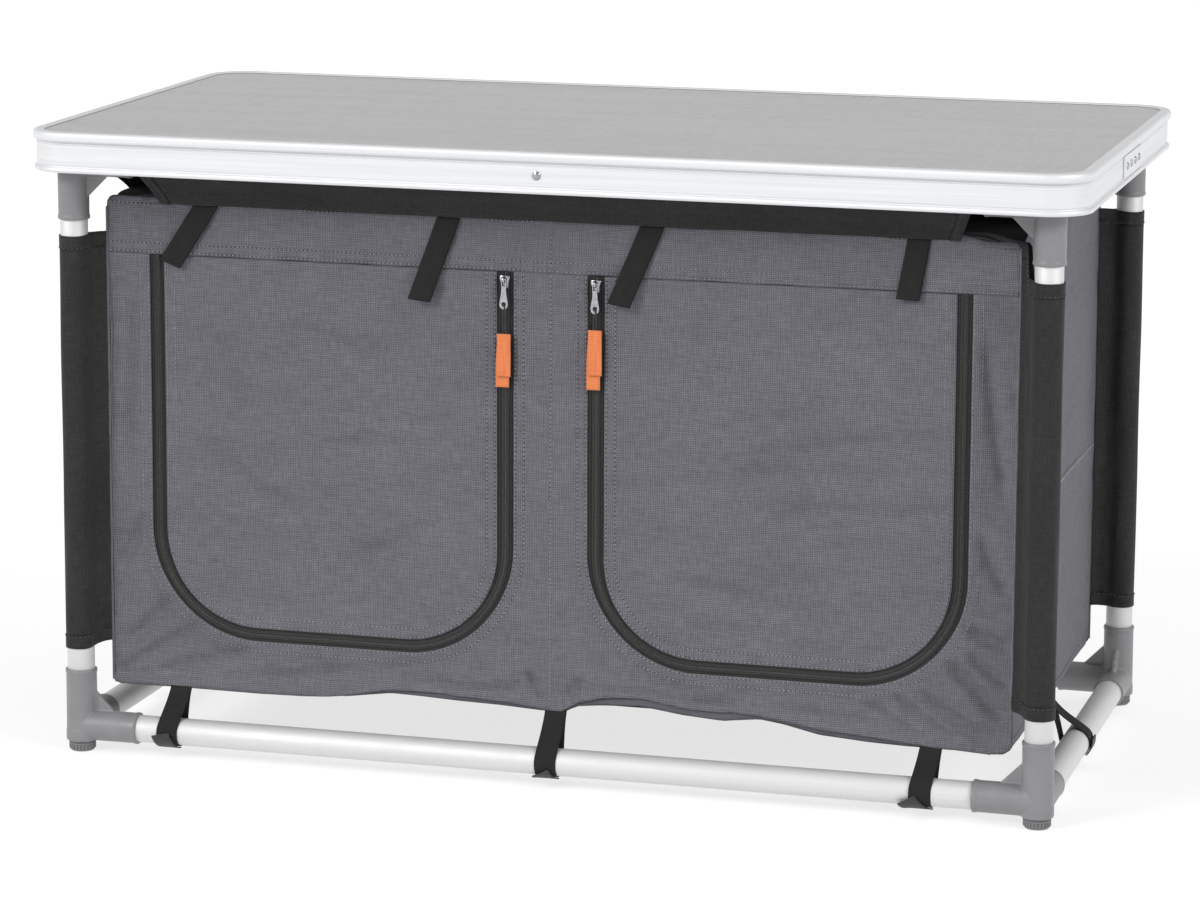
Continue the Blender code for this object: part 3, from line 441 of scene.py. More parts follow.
def rivet_tree():
    """A domed rivet with a rolled rim on each point, facing one way."""
    tree, given = tree_with("rivets", (
        ("Spots", "Geometry"), ("Radius", "Float"), ("Rise", "Float"), ("Facing", "Vector"),
        ("Finish", "Material")))
    dome = node(tree, "ShaderNodeCombineXYZ", {}, {
        "X": given["Radius"], "Y": given["Radius"], "Z": given["Rise"]})
    rim = node(tree, "ShaderNodeVectorMath", {"operation": "MULTIPLY"}, {0: dome, 1: (1.14, 1.14, 0.3)})
    shape = node(tree, "GeometryNodeJoinGeometry")
    for size, rings in ((dome, 14), (rim, 8)):
        ball = node(tree, "GeometryNodeMeshUVSphere", {}, {"Segments": 24, "Rings": rings, "Radius": 1.0})
        sized = node(tree, "GeometryNodeTransform", {}, {"Geometry": ball, "Scale": size})
        tree.links.new(sized.outputs[0], shape.inputs[0])
    turn = node(tree, "FunctionNodeAxesToRotation", {"primary_axis": "Z", "secondary_axis": "X"},
                {0: given["Facing"], 1: (0.0, 0.0, 1.0)})
    return set_on_points(tree, given["Spots"], shape, turn, given["Finish"])


ROW_OF_BARS = row_of_bars_tree()
RIVETS = rivet_tree()


def bars_along(rows, pitch, size, facing, look):
    """Bars of a size along open rows of points, a pitch apart, as a plain mesh."""
    points = [p for row in rows for p in row]
    edges, first = [], 0
    for row in rows:
        edges += [(first + i, first + i + 1) for i in range(len(row) - 1)]
        first += len(row)
    return run_tree(ROW_OF_BARS, points, edges,
                    {"Pitch": pitch, "Bar size": size, "Facing": facing, "Finish": look})


def started_later(row, distance):
    """A row of points without its first stretch."""
    row = [Vector(p) for p in row]
    while len(row) > 2 and (row[1] - row[0]).length < distance:
        distance -= (row[1] - row[0]).length
        row = row[1:]
    step = row[1] - row[0]
    return [row[0] + step.normalized() * min(distance, step.length * 0.9)] + row[1:]


def sewn(name, rows, facing, thread, body=CABINET, pitch=0.0042):
    """Stitch rows: thread bars with a dark mark of painted shade for the needle hole between each two."""
    bars = bars_along(rows, pitch, (pitch * 0.62, 0.0010, 0.0008), facing, thread)
    later = [started_later(row, pitch / 2) for row in rows]
    holes = bars_along(later, pitch, (0.0014, 0.0013, 0.0006), facing, needle_hole_shade)
    fitted(merged(name, [], [bars, holes]), body)


def teardrop(tip, lean=1.28, steps=26, layers=10, gap=0.0008):
    """Cloth drawn round a tube and out to a flat tip: points turning from the tip's one layer to its other.

    The cloth leaves the tube at an angle, lean, from the tip's direction, and its layers end two gaps apart.
    """
    tip = Vector(tip)
    out = tip.normalized()
    side = Vector((-out.y, out.x))
    contact = Vector((SLEEVE_RADIUS * math.cos(lean), SLEEVE_RADIUS * math.sin(lean)))
    start = Vector((tip.length, gap))
    span = (start - contact).length
    first = start - Vector((span * 0.42, 0.0))
    second = contact + Vector((math.sin(lean), -math.cos(lean))) * span * 0.36
    layer = []
    for i in range(layers):
        t = i / layers
        spot = (start * (1 - t) ** 3 + first * 3 * t * (1 - t) ** 2 + second * 3 * t * t * (1 - t)
                + contact * t ** 3)
        layer.append((spot.x, spot.y))
    turns = [lean + (2 * math.pi - 2 * lean) * i / steps for i in range(steps + 1)]
    arc = [(SLEEVE_RADIUS * math.cos(turn), SLEEVE_RADIUS * math.sin(turn)) for turn in turns]
    other = [(a, -b) for a, b in layer[::-1]]
    return [tuple(out * a + side * b) for a, b in layer + arc + other]


def share_out(tip, p, q):
    """How far a section point lies on the way from the tube's middle to the tip, from 0."""
    return max(0.0, Vector((p, q)).dot(Vector(tip)) / Vector(tip).length ** 2)


def outward(ring, j):
    """The direction out of a ring of 2D points at one of them."""
    count = len(ring)
    before, after = Vector(ring[j - 1]), Vector(ring[(j + 1) % count])
    run = after - before
    area = sum(ring[i - 1][0] * ring[i][1] - ring[i][0] * ring[i - 1][1] for i in range(count))
    out = Vector((run.y, -run.x)) if area > 0 else Vector((-run.y, run.x))
    return out.normalized()


# Patterns that several finishes share
def on_cloth(tree):
    """The cloth map, and its two numbers apart."""
    place = node(tree, "ShaderNodeUVMap", {"uv_map": "cloth"})
    return place, node(tree, "ShaderNodeSeparateXYZ", {}, {0: place}).outputs


def speckled(tree, scale, dark, light, **more):
    """Noise fixed to a piece, and a tint that runs between two tones with it."""
    place = node(tree, "ShaderNodeTexCoord").outputs["Object"]
    speck = node(tree, "ShaderNodeTexNoise", {}, {"Vector": place, "Scale": scale, **more})
    tint = node(tree, "ShaderNodeMix", {"data_type": "RGBA"}, {0: speck, 6: linear(dark), 7: linear(light)})
    return speck, tint


def drawn_out(tree, place, stretch, **more):
    """Noise with its own scale each way, as in threads, hair lines and folds."""
    laid = node(tree, "ShaderNodeMapping", {}, {"Vector": place, "Scale": stretch})
    return node(tree, "ShaderNodeTexNoise", {}, {"Vector": laid, "Scale": 1.0, **more})


def stripes(tree, value, pitch):
    """A wave between -1 and 1 that comes round once in every pitch."""
    turn = node(tree, "ShaderNodeMath", {"operation": "MULTIPLY"}, {0: value, 1: 2 * math.pi / pitch})
    return node(tree, "ShaderNodeMath", {"operation": "SINE"}, {0: turn})


def toned(tree, value, low, high, dark, light):
    """A tint from a dark tone where the value is low to a light one where it is high."""
    share = node(tree, "ShaderNodeMapRange", {}, {"Value": value, "From Min": low, "From Max": high})
    return node(tree, "ShaderNodeMix", {"data_type": "RGBA"}, {0: share, 6: linear(dark), 7: linear(light)})


def weave(tree, warp, weft, cell, lift=0.00020, slub=0.05, cloud=0.05, gap=0.62, rumple=0.009,
          folds=(13, 27, 1)):
    """Plain weave: a raised crossing in every cell with painted shade in the gaps between them, two thread
    tones, uneven threads, and a soft rumple.
    """
    place, at = on_cloth(tree)
    over = node(tree, "ShaderNodeMath", {"operation": "MULTIPLY"}, {
        0: stripes(tree, at["X"], 2 * cell), 1: stripes(tree, at["Y"], 2 * cell)})
    crossing_height_and_gap_shade = node(tree, "ShaderNodeMath", {"operation": "ABSOLUTE"}, {0: over})
    tint = toned(tree, over, -0.3, 0.3, weft, warp)
    # The first gain darkens the gaps between the crossings to gap times the tone: painted shade.
    shades = [(crossing_height_and_gap_shade, 0.0, 1.0, gap, 1.06)]
    for stretch in ((0.9 / cell, 0.12 / cell, 1), (0.09 / cell, 0.9 / cell, 1)):
        shades.append((drawn_out(tree, place, stretch, Detail=1.0), 0.3, 0.7, 1 - slub, 1 + slub))
    slow = node(tree, "ShaderNodeTexNoise", {}, {"Vector": place, "Scale": 11.0, "Detail": 3.0})
    shades.append((slow, 0.3, 0.7, 1 - cloud, 1 + cloud))
    for value, low, high, dark, light in shades:
        gain = node(tree, "ShaderNodeMapRange", {}, {
            "Value": value, "From Min": low, "From Max": high, "To Min": dark, "To Max": light})
        tint = node(tree, "ShaderNodeMix", {"data_type": "RGBA", "blend_type": "MULTIPLY"},
                    {0: 1.0, 6: tint, 7: gain})
    height = node(tree, "ShaderNodeMath", {"operation": "MULTIPLY"}, {0: crossing_height_and_gap_shade, 1: lift})
    for stretch, deep in ((folds, rumple), ((70, 90, 1), rumple * 0.05)):
        slack = drawn_out(tree, place, stretch, Detail=1.0, Distortion=0.4)
        height = node(tree, "ShaderNodeMath", {"operation": "MULTIPLY_ADD"}, {0: slack, 1: deep, 2: height})
    return tint, height


def ribbed_web(tree, light, dark, rib, lift):
    """Narrow woven webbing: ribs across it, threads along it, painted lighter on the crowns and darker between
    the ribs as light and shade.
    """
    place, at = on_cloth(tree)
    ribs = stripes(tree, at["Y"], rib)
    warp = stripes(tree, at["X"], rib * 1.2)
    both = node(tree, "ShaderNodeMath", {"operation": "MULTIPLY_ADD"}, {0: ribs, 1: warp, 2: ribs})
    fuzz = drawn_out(tree, place, (900, 40, 1), Detail=2.0)
    share = node(tree, "ShaderNodeMath", {"operation": "MULTIPLY_ADD"}, {0: both, 1: 0.16, 2: fuzz})
    height = node(tree, "ShaderNodeMath", {"operation": "MULTIPLY"}, {0: both, 1: lift})
    return toned(tree, share, 0.2, 0.85, dark, light), height


def moulded(tree, light, dark, grain, rough):
    """Injection-moulded plastic: spark-eroded grain, slow flow shading and small bright scuffs."""
    flow, tint = speckled(tree, 45.0, dark, light, Detail=3.0)
    place = node(tree, "ShaderNodeTexCoord").outputs["Object"]
    fine = node(tree, "ShaderNodeTexNoise", {}, {"Vector": place, "Scale": 1400.0, "Detail": 2.0})
    scuff = node(tree, "ShaderNodeTexNoise", {}, {
        "Vector": place, "Scale": 320.0, "Detail": 6.0, "Roughness": 0.7})
    worn = node(tree, "ShaderNodeMapRange", {}, {
        "Value": scuff, "From Min": 0.64, "From Max": 0.74, "To Min": 0.0, "To Max": 0.35})
    tint = node(tree, "ShaderNodeMix", {"data_type": "RGBA"}, {0: worn, 6: tint, 7: linear("#a9a9ab")})
    dull = node(tree, "ShaderNodeMapRange", {}, {
        "Value": flow, "From Min": 0.3, "From Max": 0.7, "To Min": rough - 0.06, "To Max": rough + 0.08})
    height = node(tree, "ShaderNodeMath", {"operation": "MULTIPLY"}, {0: fine, 1: grain})
    return {"Base Color": tint, "Roughness": dull, "Height": height, "IOR": 1.53}


# Finishes
@finish
def grey_oxford_polyester(tree):
    # Plain-woven coated polyester: matt, two grey-violet thread tones, and a faint grid of painted shade in
    # the gaps between crossings. Real threads are about 0.5 mm apart; drawn 1.7 mm apart so that the grid
    # shows at this distance.
    tint, height = weave(tree, "#75747b", "#6c6b72", 0.0017, slub=0.11, gap=0.40)
    return {"Base Color": tint, "Height": height, "Roughness": 0.86, "Specular IOR Level": 0.3,
            "Sheen Weight": 0.08, "Sheen Roughness": 0.45}


@finish
def grey_polyester_inside(tree):
    # The coated back of the same cloth: a little darker and smoother
    # Its grid, too, is painted shade in the gaps between crossings.
    tint, height = weave(tree, "#5c5b63", "#4c4b52", 0.0015, lift=0.00010)
    return {"Base Color": tint, "Height": height, "Roughness": 0.7}


@finish
def black_oxford_polyester(tree):
    # The same cloth dyed black: dark grey in the light, with a soft dusty sheen on its folds
    # Its faint grid, too, is painted shade in the gaps between crossings.
    tint, height = weave(tree, "#363636", "#1c1c1c", 0.0014, lift=0.00016, slub=0.2, cloud=0.16, gap=0.56,
                         rumple=0.004, folds=(45, 9, 1))
    return {"Base Color": tint, "Height": height, "Roughness": 0.8, "Specular IOR Level": 0.28,
            "Sheen Weight": 0.08, "Sheen Roughness": 0.4}


@finish
def black_zip_tape(tree):
    # Warp-knitted polyester tape: fine cords run along it, so light breaks into thin lines, which are painted
    # into its colour as lighter and darker lines. They are drawn 1.1 mm apart, wider than the real 0.6 mm, so
    # that they show.
    place, at = on_cloth(tree)
    mixed = node(tree, "ShaderNodeTexNoise", {}, {"Vector": place, "Scale": 420.0, "Detail": 2.0})
    for axis, pitch, weight in (("X", 0.0011, 0.5), ("Y", 0.0016, 0.12)):
        mixed = node(tree, "ShaderNodeMath", {"operation": "MULTIPLY_ADD"}, {
            0: stripes(tree, at[axis], pitch), 1: weight, 2: mixed})
    height = node(tree, "ShaderNodeMath", {"operation": "MULTIPLY"}, {0: mixed, 1: 0.00022})
    return {"Base Color": toned(tree, mixed, 0.1, 0.9, "#090909", "#3a3a39"), "Height": height,
            "Roughness": 0.6, "Specular IOR Level": 0.3}


@finish
def nylon_zip_coil(tree):
    # Extruded nylon monofilament: dark and faintly glossy, with speckles painted up to mid grey as highlight
    return {"Base Color": speckled(tree, 700.0, "#38383a", "#7c7c7f")[1], "Roughness": 0.35}


@finish
def polyester_sewing_thread(tree):
    # Twisted polyester thread, a shade lighter than the grey cloth
    return {"Base Color": speckled(tree, 260.0, "#57565c", "#9c9ba2")[1], "Roughness": 0.6,
            "Sheen Weight": 0.1}


@finish
def black_sewing_thread(tree):
    # The same thread in black, seen only where light catches it
    return {"Base Color": speckled(tree, 260.0, "#2a2a2a", "#626262")[1], "Roughness": 0.6}


@finish
def needle_hole_shade(tree):
    # Painted shade: a dark mark standing for the shadowed pit where the thread goes through the cloth
    return {"Base Color": speckled(tree, 300.0, "#242327", "#3a393e")[1], "Roughness": 0.95}


@finish
def black_polypropylene_webbing(tree):
    # Flat woven webbing, ribs 1.6 mm apart: matt black, with a painted highlight making its crowns greyer
    tint, height = ribbed_web(tree, "#1f1f1f", "#0d0d0d", 0.0016, 0.00010)
    return {"Base Color": tint, "Height": height, "Roughness": 0.78, "Specular IOR Level": 0.3}


@finish
def orange_polyester_webbing(tree):
    # Soft woven tape dyed bright orange, with painted shade making it deeper between its ribs
    tint, height = ribbed_web(tree, "#db8552", "#c5602a", 0.0015, 0.00009)
    return {"Base Color": tint, "Height": height, "Roughness": 0.72, "Sheen Weight": 0.15}


@finish
def hook_and_loop_pile(tree):
    # The loop side of the tie: a short fuzzy nap, lighter and duller than the webbing
    nap, tint = speckled(tree, 650.0, "#151515", "#3a3a39", Detail=4.0)
    height = node(tree, "ShaderNodeMath", {"operation": "MULTIPLY"}, {0: nap, 1: 0.0007})
    return {"Base Color": tint, "Height": height, "Roughness": 0.95, "Sheen Weight": 0.2}


@finish
def black_braided_cord(tree):
    # Thin braided cord: slanting strands about 1.4 mm long, painted lighter on their crowns and darker between
    # them as light and shade
    at = on_cloth(tree)[1]
    slant = node(tree, "ShaderNodeMath", {"operation": "ADD"}, {0: at["X"], 1: at["Y"]})
    wave = stripes(tree, slant, 0.0014)
    height = node(tree, "ShaderNodeMath", {"operation": "MULTIPLY"}, {0: wave, 1: 0.00012})
    return {"Base Color": toned(tree, wave, -1.0, 1.0, "#1c1c1c", "#3b3b3a"), "Height": height,
            "Roughness": 0.7}


@finish
def satin_anodised_tube(tree):
    # Drawn and anodised aluminium: soft pale satin with hair lines along its length and a few rubbed patches.
    # The oxide layer scatters light as paint does, so only part of the sheen is a metal's.
    place = on_cloth(tree)[0]
    lines = drawn_out(tree, place, (1500, 9, 1), Detail=3.0)
    rubbed = node(tree, "ShaderNodeTexNoise", {}, {"Vector": place, "Scale": 38.0, "Detail": 3.0})
    dull = node(tree, "ShaderNodeMapRange", {}, {
        "Value": rubbed, "From Min": 0.3, "From Max": 0.7, "To Min": 0.56, "To Max": 0.68})
    height = node(tree, "ShaderNodeMath", {"operation": "MULTIPLY"}, {0: lines, 1: 0.00001})
    return {"Base Color": toned(tree, lines, 0.0, 1.0, "#c8c8c8", "#d6d6d6"), "Metallic": 0.45,
            "Roughness": dull, "Height": height}


@finish
def brushed_anodised_edge(tree):
    # Extruded aluminium, brushed along its run and clear anodised: long thin streaks, lighter and darker
    place = on_cloth(tree)[0]
    streak = drawn_out(tree, place, (1300, 7, 1), Detail=4.0, Roughness=0.6)
    bands = drawn_out(tree, place, (260, 3, 1), Detail=2.0)
    both = node(tree, "ShaderNodeMath", {"operation": "ADD"}, {0: streak, 1: bands})
    dull = node(tree, "ShaderNodeMapRange", {}, {
        "Value": streak, "From Min": 0.3, "From Max": 0.7, "To Min": 0.44, "To Max": 0.56})
    height = node(tree, "ShaderNodeMath", {"operation": "MULTIPLY"}, {0: streak, 1: 0.000004})
    return {"Base Color": toned(tree, both, 0.65, 1.35, "#cdced0", "#dcdddf"), "Metallic": 0.4,
            "Roughness": dull, "Height": height}


@finish
def bright_zinc_steel(tree):
    # Zinc-plated steel rivets and plate: bright, with faint handling marks
    marks, tint = speckled(tree, 180.0, "#85878c", "#cfd0d4", Detail=5.0)
    dull = node(tree, "ShaderNodeMapRange", {}, {
        "Value": marks, "From Min": 0.3, "From Max": 0.7, "To Min": 0.16, "To Max": 0.34})
    return {"Base Color": tint, "Metallic": 1.0, "Roughness": dull}


@finish
def chromed_zinc_casting(tree):
    # Die-cast zinc slider with bright chrome: mirror-like, slightly wavy from the casting, its colour painted
    # dark and light over the waves as painted reflections
    wave_and_painted_reflection, tint = speckled(tree, 240.0, "#6a6c71", "#d6d7da", Detail=2.0)
    height = node(tree, "ShaderNodeMath", {"operation": "MULTIPLY"}, {0: wave_and_painted_reflection, 1: 0.0003})
    return {"Base Color": tint, "Metallic": 1.0, "Roughness": 0.16, "Height": height}


@finish
def grey_moulded_nylon(tree):
    # Glass-filled nylon sockets: satin mid grey with a fine grain
    return moulded(tree, "#7f7f81", "#6e6e70", 0.00003, 0.42)


@finish
def grey_moulded_foot(tree):
    # The feet: a tougher, duller plastic of nearly the same grey
    return moulded(tree, "#757577", "#626264", 0.00004, 0.55)


@finish
def grey_linen_laminate(tree):
    # Pressed melamine laminate: even warm grey with a fine linen emboss, faint long rub marks
    place = node(tree, "ShaderNodeTexCoord").outputs["Object"]
    across, along = (drawn_out(tree, place, stretch, Detail=2.0) for stretch in ((26, 620, 1), (620, 26, 1)))
    linen = node(tree, "ShaderNodeMath", {"operation": "ADD"}, {0: across, 1: along})
    rubs = drawn_out(tree, place, (3, 60, 1), Detail=5.0)
    share = node(tree, "ShaderNodeMath", {"operation": "MULTIPLY_ADD"}, {0: rubs, 1: 0.8, 2: linen})
    height = node(tree, "ShaderNodeMath", {"operation": "MULTIPLY"}, {0: linen, 1: 0.00006})
    return {"Base Color": toned(tree, share, 1.0, 1.8, "#a09f9f", "#b2b1b1"), "Roughness": 0.5,
            "Height": height}


@finish
def pale_studio_floor(tree):
    # Opal acrylic lit from below, as under a product shot: almost white, and its shadows stay pale
    return {"Base Color": speckled(tree, 1.5, "#8c8c8c", "#929292")[1], "Roughness": 0.8,
            "Specular IOR Level": 0.2, "Emission Color": (1.0, 1.0, 1.0, 1.0), "Emission Strength": 0.74}


# Camera, floor and light. The camera's degrees are its azimuth, how far it looks down, and its roll.
CAMERA_AT = (1.11030, -4.00407, 1.12284)
CAMERA_DEGREES = (-15.673, 10.124, 0.2716)
FOCAL_LENGTH, SENSOR_WIDTH, LENS_SHIFT = 131.0625, 36.0, -0.08904
FLOOR_HALF = 9


def looking(turn, fall):
    """The direction turned clockwise from +Y and tilted down, by angles in radians."""
    return Vector((math.sin(turn) * math.cos(fall), math.cos(turn) * math.cos(fall), -math.sin(fall)))


azimuth, elevation, roll = (math.radians(v) for v in CAMERA_DEGREES)
ahead = looking(azimuth, elevation)
right = ahead.cross(Vector((0, 0, 1))).normalized()
up = right.cross(ahead)
right, up = right * math.cos(roll) + up * math.sin(roll), up * math.cos(roll) - right * math.sin(roll)
lens = bpy.data.cameras.new("photo_camera")
lens.sensor_width = SENSOR_WIDTH
lens.lens = FOCAL_LENGTH
lens.shift_y = LENS_SHIFT
scene.camera = linked("photo_camera", lens)
scene.camera.matrix_world = (Matrix.Translation(CAMERA_AT)
                             @ Matrix((right, up, -ahead)).transposed().to_4x4())

floor_ends = [[(x, y, 0) for x in (-FLOOR_HALF, FLOOR_HALF)] for y in (-FLOOR_HALF, FLOOR_HALF)]
skin("studio_floor", floor_ends, pale_studio_floor, ring_closed=False, facing=(0, 0, 1))

world = bpy.data.worlds.new("soft_white_room")
scene.world = world
world.use_nodes = True
sky = world.node_tree
sky.nodes.clear()
toward = node(sky, "ShaderNodeSeparateXYZ", {}, {0: node(sky, "ShaderNodeTexCoord").outputs["Generated"]})
# The room is grey, darker behind the cupboard, which the metal at its right end mirrors. Its foot is white.
level = node(sky, "ShaderNodeMapRange", {"interpolation_type": "SMOOTHSTEP"}, {
    "Value": toward.outputs["Y"], "From Min": 0.3, "From Max": 0.95, "To Min": 0.68, "To Max": 0.38})
level = node(sky, "ShaderNodeMapRange", {"interpolation_type": "SMOOTHSTEP"}, {
    "Value": toward.outputs["Z"], "From Min": 0.16, "From Max": 0.30, "To Min": 1.02, "To Max": level})
node(sky, "ShaderNodeOutputWorld", {}, {"Surface": node(
    sky, "ShaderNodeBackground", {}, {"Color": level, "Strength": 1.0})})
scene.view_settings.view_transform = "Standard"

# Two large soft boxes stand at equal angles to the left and right of the camera
BOX_TURN, BOX_FALL, BOX_SPREAD = 55.0, 30.0, 18.0
for (side, label), power in zip(SIDES, (1.63, 1.28)):
    box = bpy.data.lights.new(f"soft_box_{label}", "SUN")
    box.energy = power
    box.angle = math.radians(BOX_SPREAD)
    falling = looking(azimuth - math.radians(side * BOX_TURN), math.radians(BOX_FALL))
    linked(f"soft_box_{label}", box).rotation_euler = falling.to_track_quat("-Z", "Y").to_euler()


# Tubes
TUBE_END = 0.0165


def turned_rings(profile, axis, sides, middle=(0.0, 0.0, 0.0)):
    """Rings round an axis through a point: the profile is (distance along the axis, radius) pairs."""
    rings = []
    for far, radius in profile:
        ring = [{"X": (far, a, b), "Y": (a, far, b), "Z": (a, b, far)}[axis]
                for a, b in circle(radius, sides)]
        rings.append([tuple(m + p for m, p in zip(middle, point)) for point in ring])
    return rings


def drawn_tube(node_name, axis, middle, half):
    """A smooth drawn tube with broken edges in place of a faceted one. It ends inside its sockets."""
    half -= TUBE_END
    profile = [(-half, TUBE - 0.0004), (-half + 0.0006, TUBE), (half - 0.0006, TUBE), (half, TUBE - 0.0004)]
    made = skin(node_name + "_drawn", turned_rings(profile, axis, 56, middle), satin_anodised_tube)
    fitted(made, CABINET, node_name)


for corner, (sx, sy) in CORNERS.items():
    drawn_tube(f"leg_tube_{corner}", "Z", (sx * LEG_X, sy * LEG_Y, (LOWER_AXIS + UPPER_AXIS) / 2),
               (UPPER_AXIS - LOWER_AXIS) / 2)
for level, height in (("lower", LOWER_AXIS), ("upper", UPPER_AXIS)):
    for label, way in (("front", -1), ("back", 1)):
        drawn_tube(f"{level}_rail_{label}", "X", (0, way * LEG_Y, height), LEG_X)
    for side, label in SIDES:
        drawn_tube(f"{level}_rail_{label}", "Y", (side * LEG_X, 0, height), LEG_Y)


# Corner sockets
def socket_mesh(upper):
    """A corner moulding, arms to +X and +Y and post to +Z: rimmed mouths, two webs and a mould step."""
    rim, web_wall = 0.0004, 0.0036

    def arm(reach):
        return [(-SOCKET * 0.86, SOCKET * 0.55), (-SOCKET * 0.6, SOCKET * 0.82), (0.0, SOCKET),
                (reach - 0.0042, SOCKET - 0.0002), (reach - 0.0036, SOCKET + rim),
                (reach - 0.0005, SOCKET + rim), (reach, SOCKET + rim - 0.0006)]

    def bar(profile, axis, sides=64):
        return skin("bar", turned_rings(profile, axis, sides), grey_moulded_nylon)

    post = [(-SOCKET, SOCKET - 0.0008), (-SOCKET + 0.0008, SOCKET + 0.0005), (-0.0045, SOCKET + 0.0005),
            (-0.0037, SOCKET)] + arm(POST_REACH)[3:]
    parts = [bar(arm(ARM_REACH), "X"), bar(arm(ARM_REACH), "Y"), bar(post, "Z")]
    inner, far, edge = SOCKET * 0.4, SOCKET + GUSSET, SOCKET - 0.0004
    web = [(inner, inner), (far, inner), (far, edge), (edge, far), (inner, far)]
    for place, facing in ((lambda a, b: (a, web_wall / 2, b), (0, 1, 0)),
                          (lambda a, b: (web_wall / 2, a, b), (1, 0, 0))):
        parts.append(cut_piece("web", web, place, grey_moulded_nylon, spacing=0.002, wall=web_wall,
                               facing=facing))
    if upper:
        pin = [(-SOCKET - 0.0053, 0.0042), (-SOCKET - 0.0045, 0.0050), (-SOCKET + 0.002, 0.0050)]
        parts.append(bar(pin, "Z", 32))
    whole = merged("socket", parts)
    # Melted together with small fillets, as a moulding is
    settled(whole, ("REMESH", {"mode": "VOXEL", "voxel_size": 0.0009, "use_smooth_shade": True}),
            ("SMOOTH", {"factor": 0.5, "iterations": 3}),
            ("DECIMATE", {"ratio": 0.45}))
    mesh = whole.data.copy()
    bpy.data.objects.remove(whole)
    mesh.materials.clear()
    mesh.materials.append(grey_moulded_nylon)
    return mesh


levels = (("lower", socket_mesh(False), LOWER_AXIS, 1), ("upper", socket_mesh(True), UPPER_AXIS, -1))
for corner, (sx, sy) in CORNERS.items():
    for level, moulding, height, upright in levels:
        at_corner = (Matrix.Translation((sx * LEG_X, sy * LEG_Y, height))
                     @ Matrix.Diagonal((-sx, -sy, upright, 1)))
        piece = shown(f"{level}_corner_{corner}_moulding", moved(moulding, at_corner), 45)
        fitted(piece, CABINET, f"{level}_corner_{corner}")


# Levelling feet
def ribbed_foot(corner, sx, sy):
    """A foot with slots round its rim, a chamfered sole and a threaded stud."""
    sides, rings = 144, []

    def ring(z, radius, slot):
        points = []
        for i in range(sides):
            angle = 2 * math.pi * i / sides
            cut = slot * eased(math.cos(angle * 24) * 2.2 + 0.2)
            points.append((sx * LEG_X + (radius - cut) * math.cos(angle),
                           sy * LEG_Y + (radius - cut) * math.sin(angle), z))
        rings.append(points)

    for z, radius, slot in ((0.0, 0.0108, 0), (0.0004, 0.0112, 0), (0.0020, 0.0124, 0), (0.0023, 0.0128, 0),
                            (0.0026, 0.0128, 0.0010), (0.0066, 0.0128, 0.0010), (0.0069, 0.0128, 0),
                            (0.0080, 0.0128, 0), (0.0083, 0.0120, 0), (0.0088, 0.0120, 0),
                            (0.0090, 0.0126, 0), (0.0096, 0.0124, 0), (0.0096, 0.0054, 0)):
        ring(z, radius, slot)
    for step in range(30):
        ring(0.0097 + step * 0.0008, 0.0050 - (0.0004 if step % 2 else 0.0), 0)
    made = skin(f"foot_{corner}_ribbed", rings, grey_moulded_foot, smooth=35)
    fitted(made, f"levelling_foot_{corner}", f"foot_{corner}")


for corner, (sx, sy) in CORNERS.items():
    ribbed_foot(corner, sx, sy)


# Tabletop: the edge extrusion's section is its inward distance from the widest line, and its height
EDGE_SECTION = [
    (0.0105, 0.5988), (0.0105, 0.5992), (0.0100, 0.5997), (0.0092, 0.5999), (0.0060, TOP_Z),
    *[(0.0030 - 0.0030 * math.sin(a), TOP_Z - 0.0036 + 0.0036 * math.cos(a))
      for a in (math.radians(d) for d in range(0, 91, 15))],
    (0.0, 0.5936), (0.0003, 0.5924), (0.0010, 0.5915), (0.0020, 0.5909), (0.0034, 0.5906),
    (0.0038, 0.5903), (0.0038, 0.5898), (0.0032, 0.5895), (0.0032, 0.5887), (0.0036, 0.5885),
    (0.0036, 0.5881), (0.0032, 0.5879), (0.0032, 0.5760), (0.0032, 0.5690), (0.0036, 0.5688),
    (0.0036, 0.5684), (0.0032, 0.5682), (0.0030, 0.5671), (0.0018, 0.5667), (0.0010, 0.5657),
    (0.0008, 0.5645), (0.0010, 0.5633), (0.0016, 0.5624), (0.0026, 0.5620), (0.0052, 0.5620),
    (0.0052, 0.5831), (0.0200, 0.5831), (0.0200, 0.5848), (0.0052, 0.5848), (0.0052, 0.5988),
]


def bent_edge():
    """One extrusion bent round the board, with its joint under the plate at the right end."""
    bend_x, bend_y, joint = TOP_X - TOP_CORNER, TOP_Y - TOP_CORNER, 0.0003
    path = [(bend_x, joint, 1.0, 0.0)]
    stops = ((1, 1), (-1, 1), (-1, -1), (1, -1), (1, 0))
    for quarter, outward_way in enumerate(((0, 1), (-1, 0), (0, -1), (1, 0))):
        (x0, y0), (x1, y1) = [(sx * bend_x, sy * bend_y) for sx, sy in stops[quarter:quarter + 2]]
        for step in range(17):
            angle = math.radians(90) * (quarter + step / 16)
            path.append((x0, y0, math.cos(angle), math.sin(angle)))
        steps = 24 if quarter in (0, 2) else 10
        for share in (step / steps for step in range(1, steps)):
            path.append((x0 + (x1 - x0) * share, y0 + (y1 - y0) * share, *outward_way))
    path.append((bend_x, -joint, 1.0, 0.0))
    rings = [[(x + (TOP_CORNER - a) * c, y + (TOP_CORNER - a) * s, z) for a, z in EDGE_SECTION]
             for x, y, c, s in path]
    made = skin("tabletop_edge_brushed", rings, brushed_anodised_edge, smooth=32)
    fitted(made, "tabletop", "tabletop_edge_rail")


bent_edge()
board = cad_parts["tabletop_board"]
board.data.materials.clear()
board.data.materials.append(grey_linen_laminate)


def rivets(spots, radius, rise, facing):
    """Rivet heads on a few points, as a plain mesh."""
    return run_tree(RIVETS, spots, [],
                    {"Radius": radius, "Rise": rise, "Facing": facing, "Finish": bright_zinc_steel})


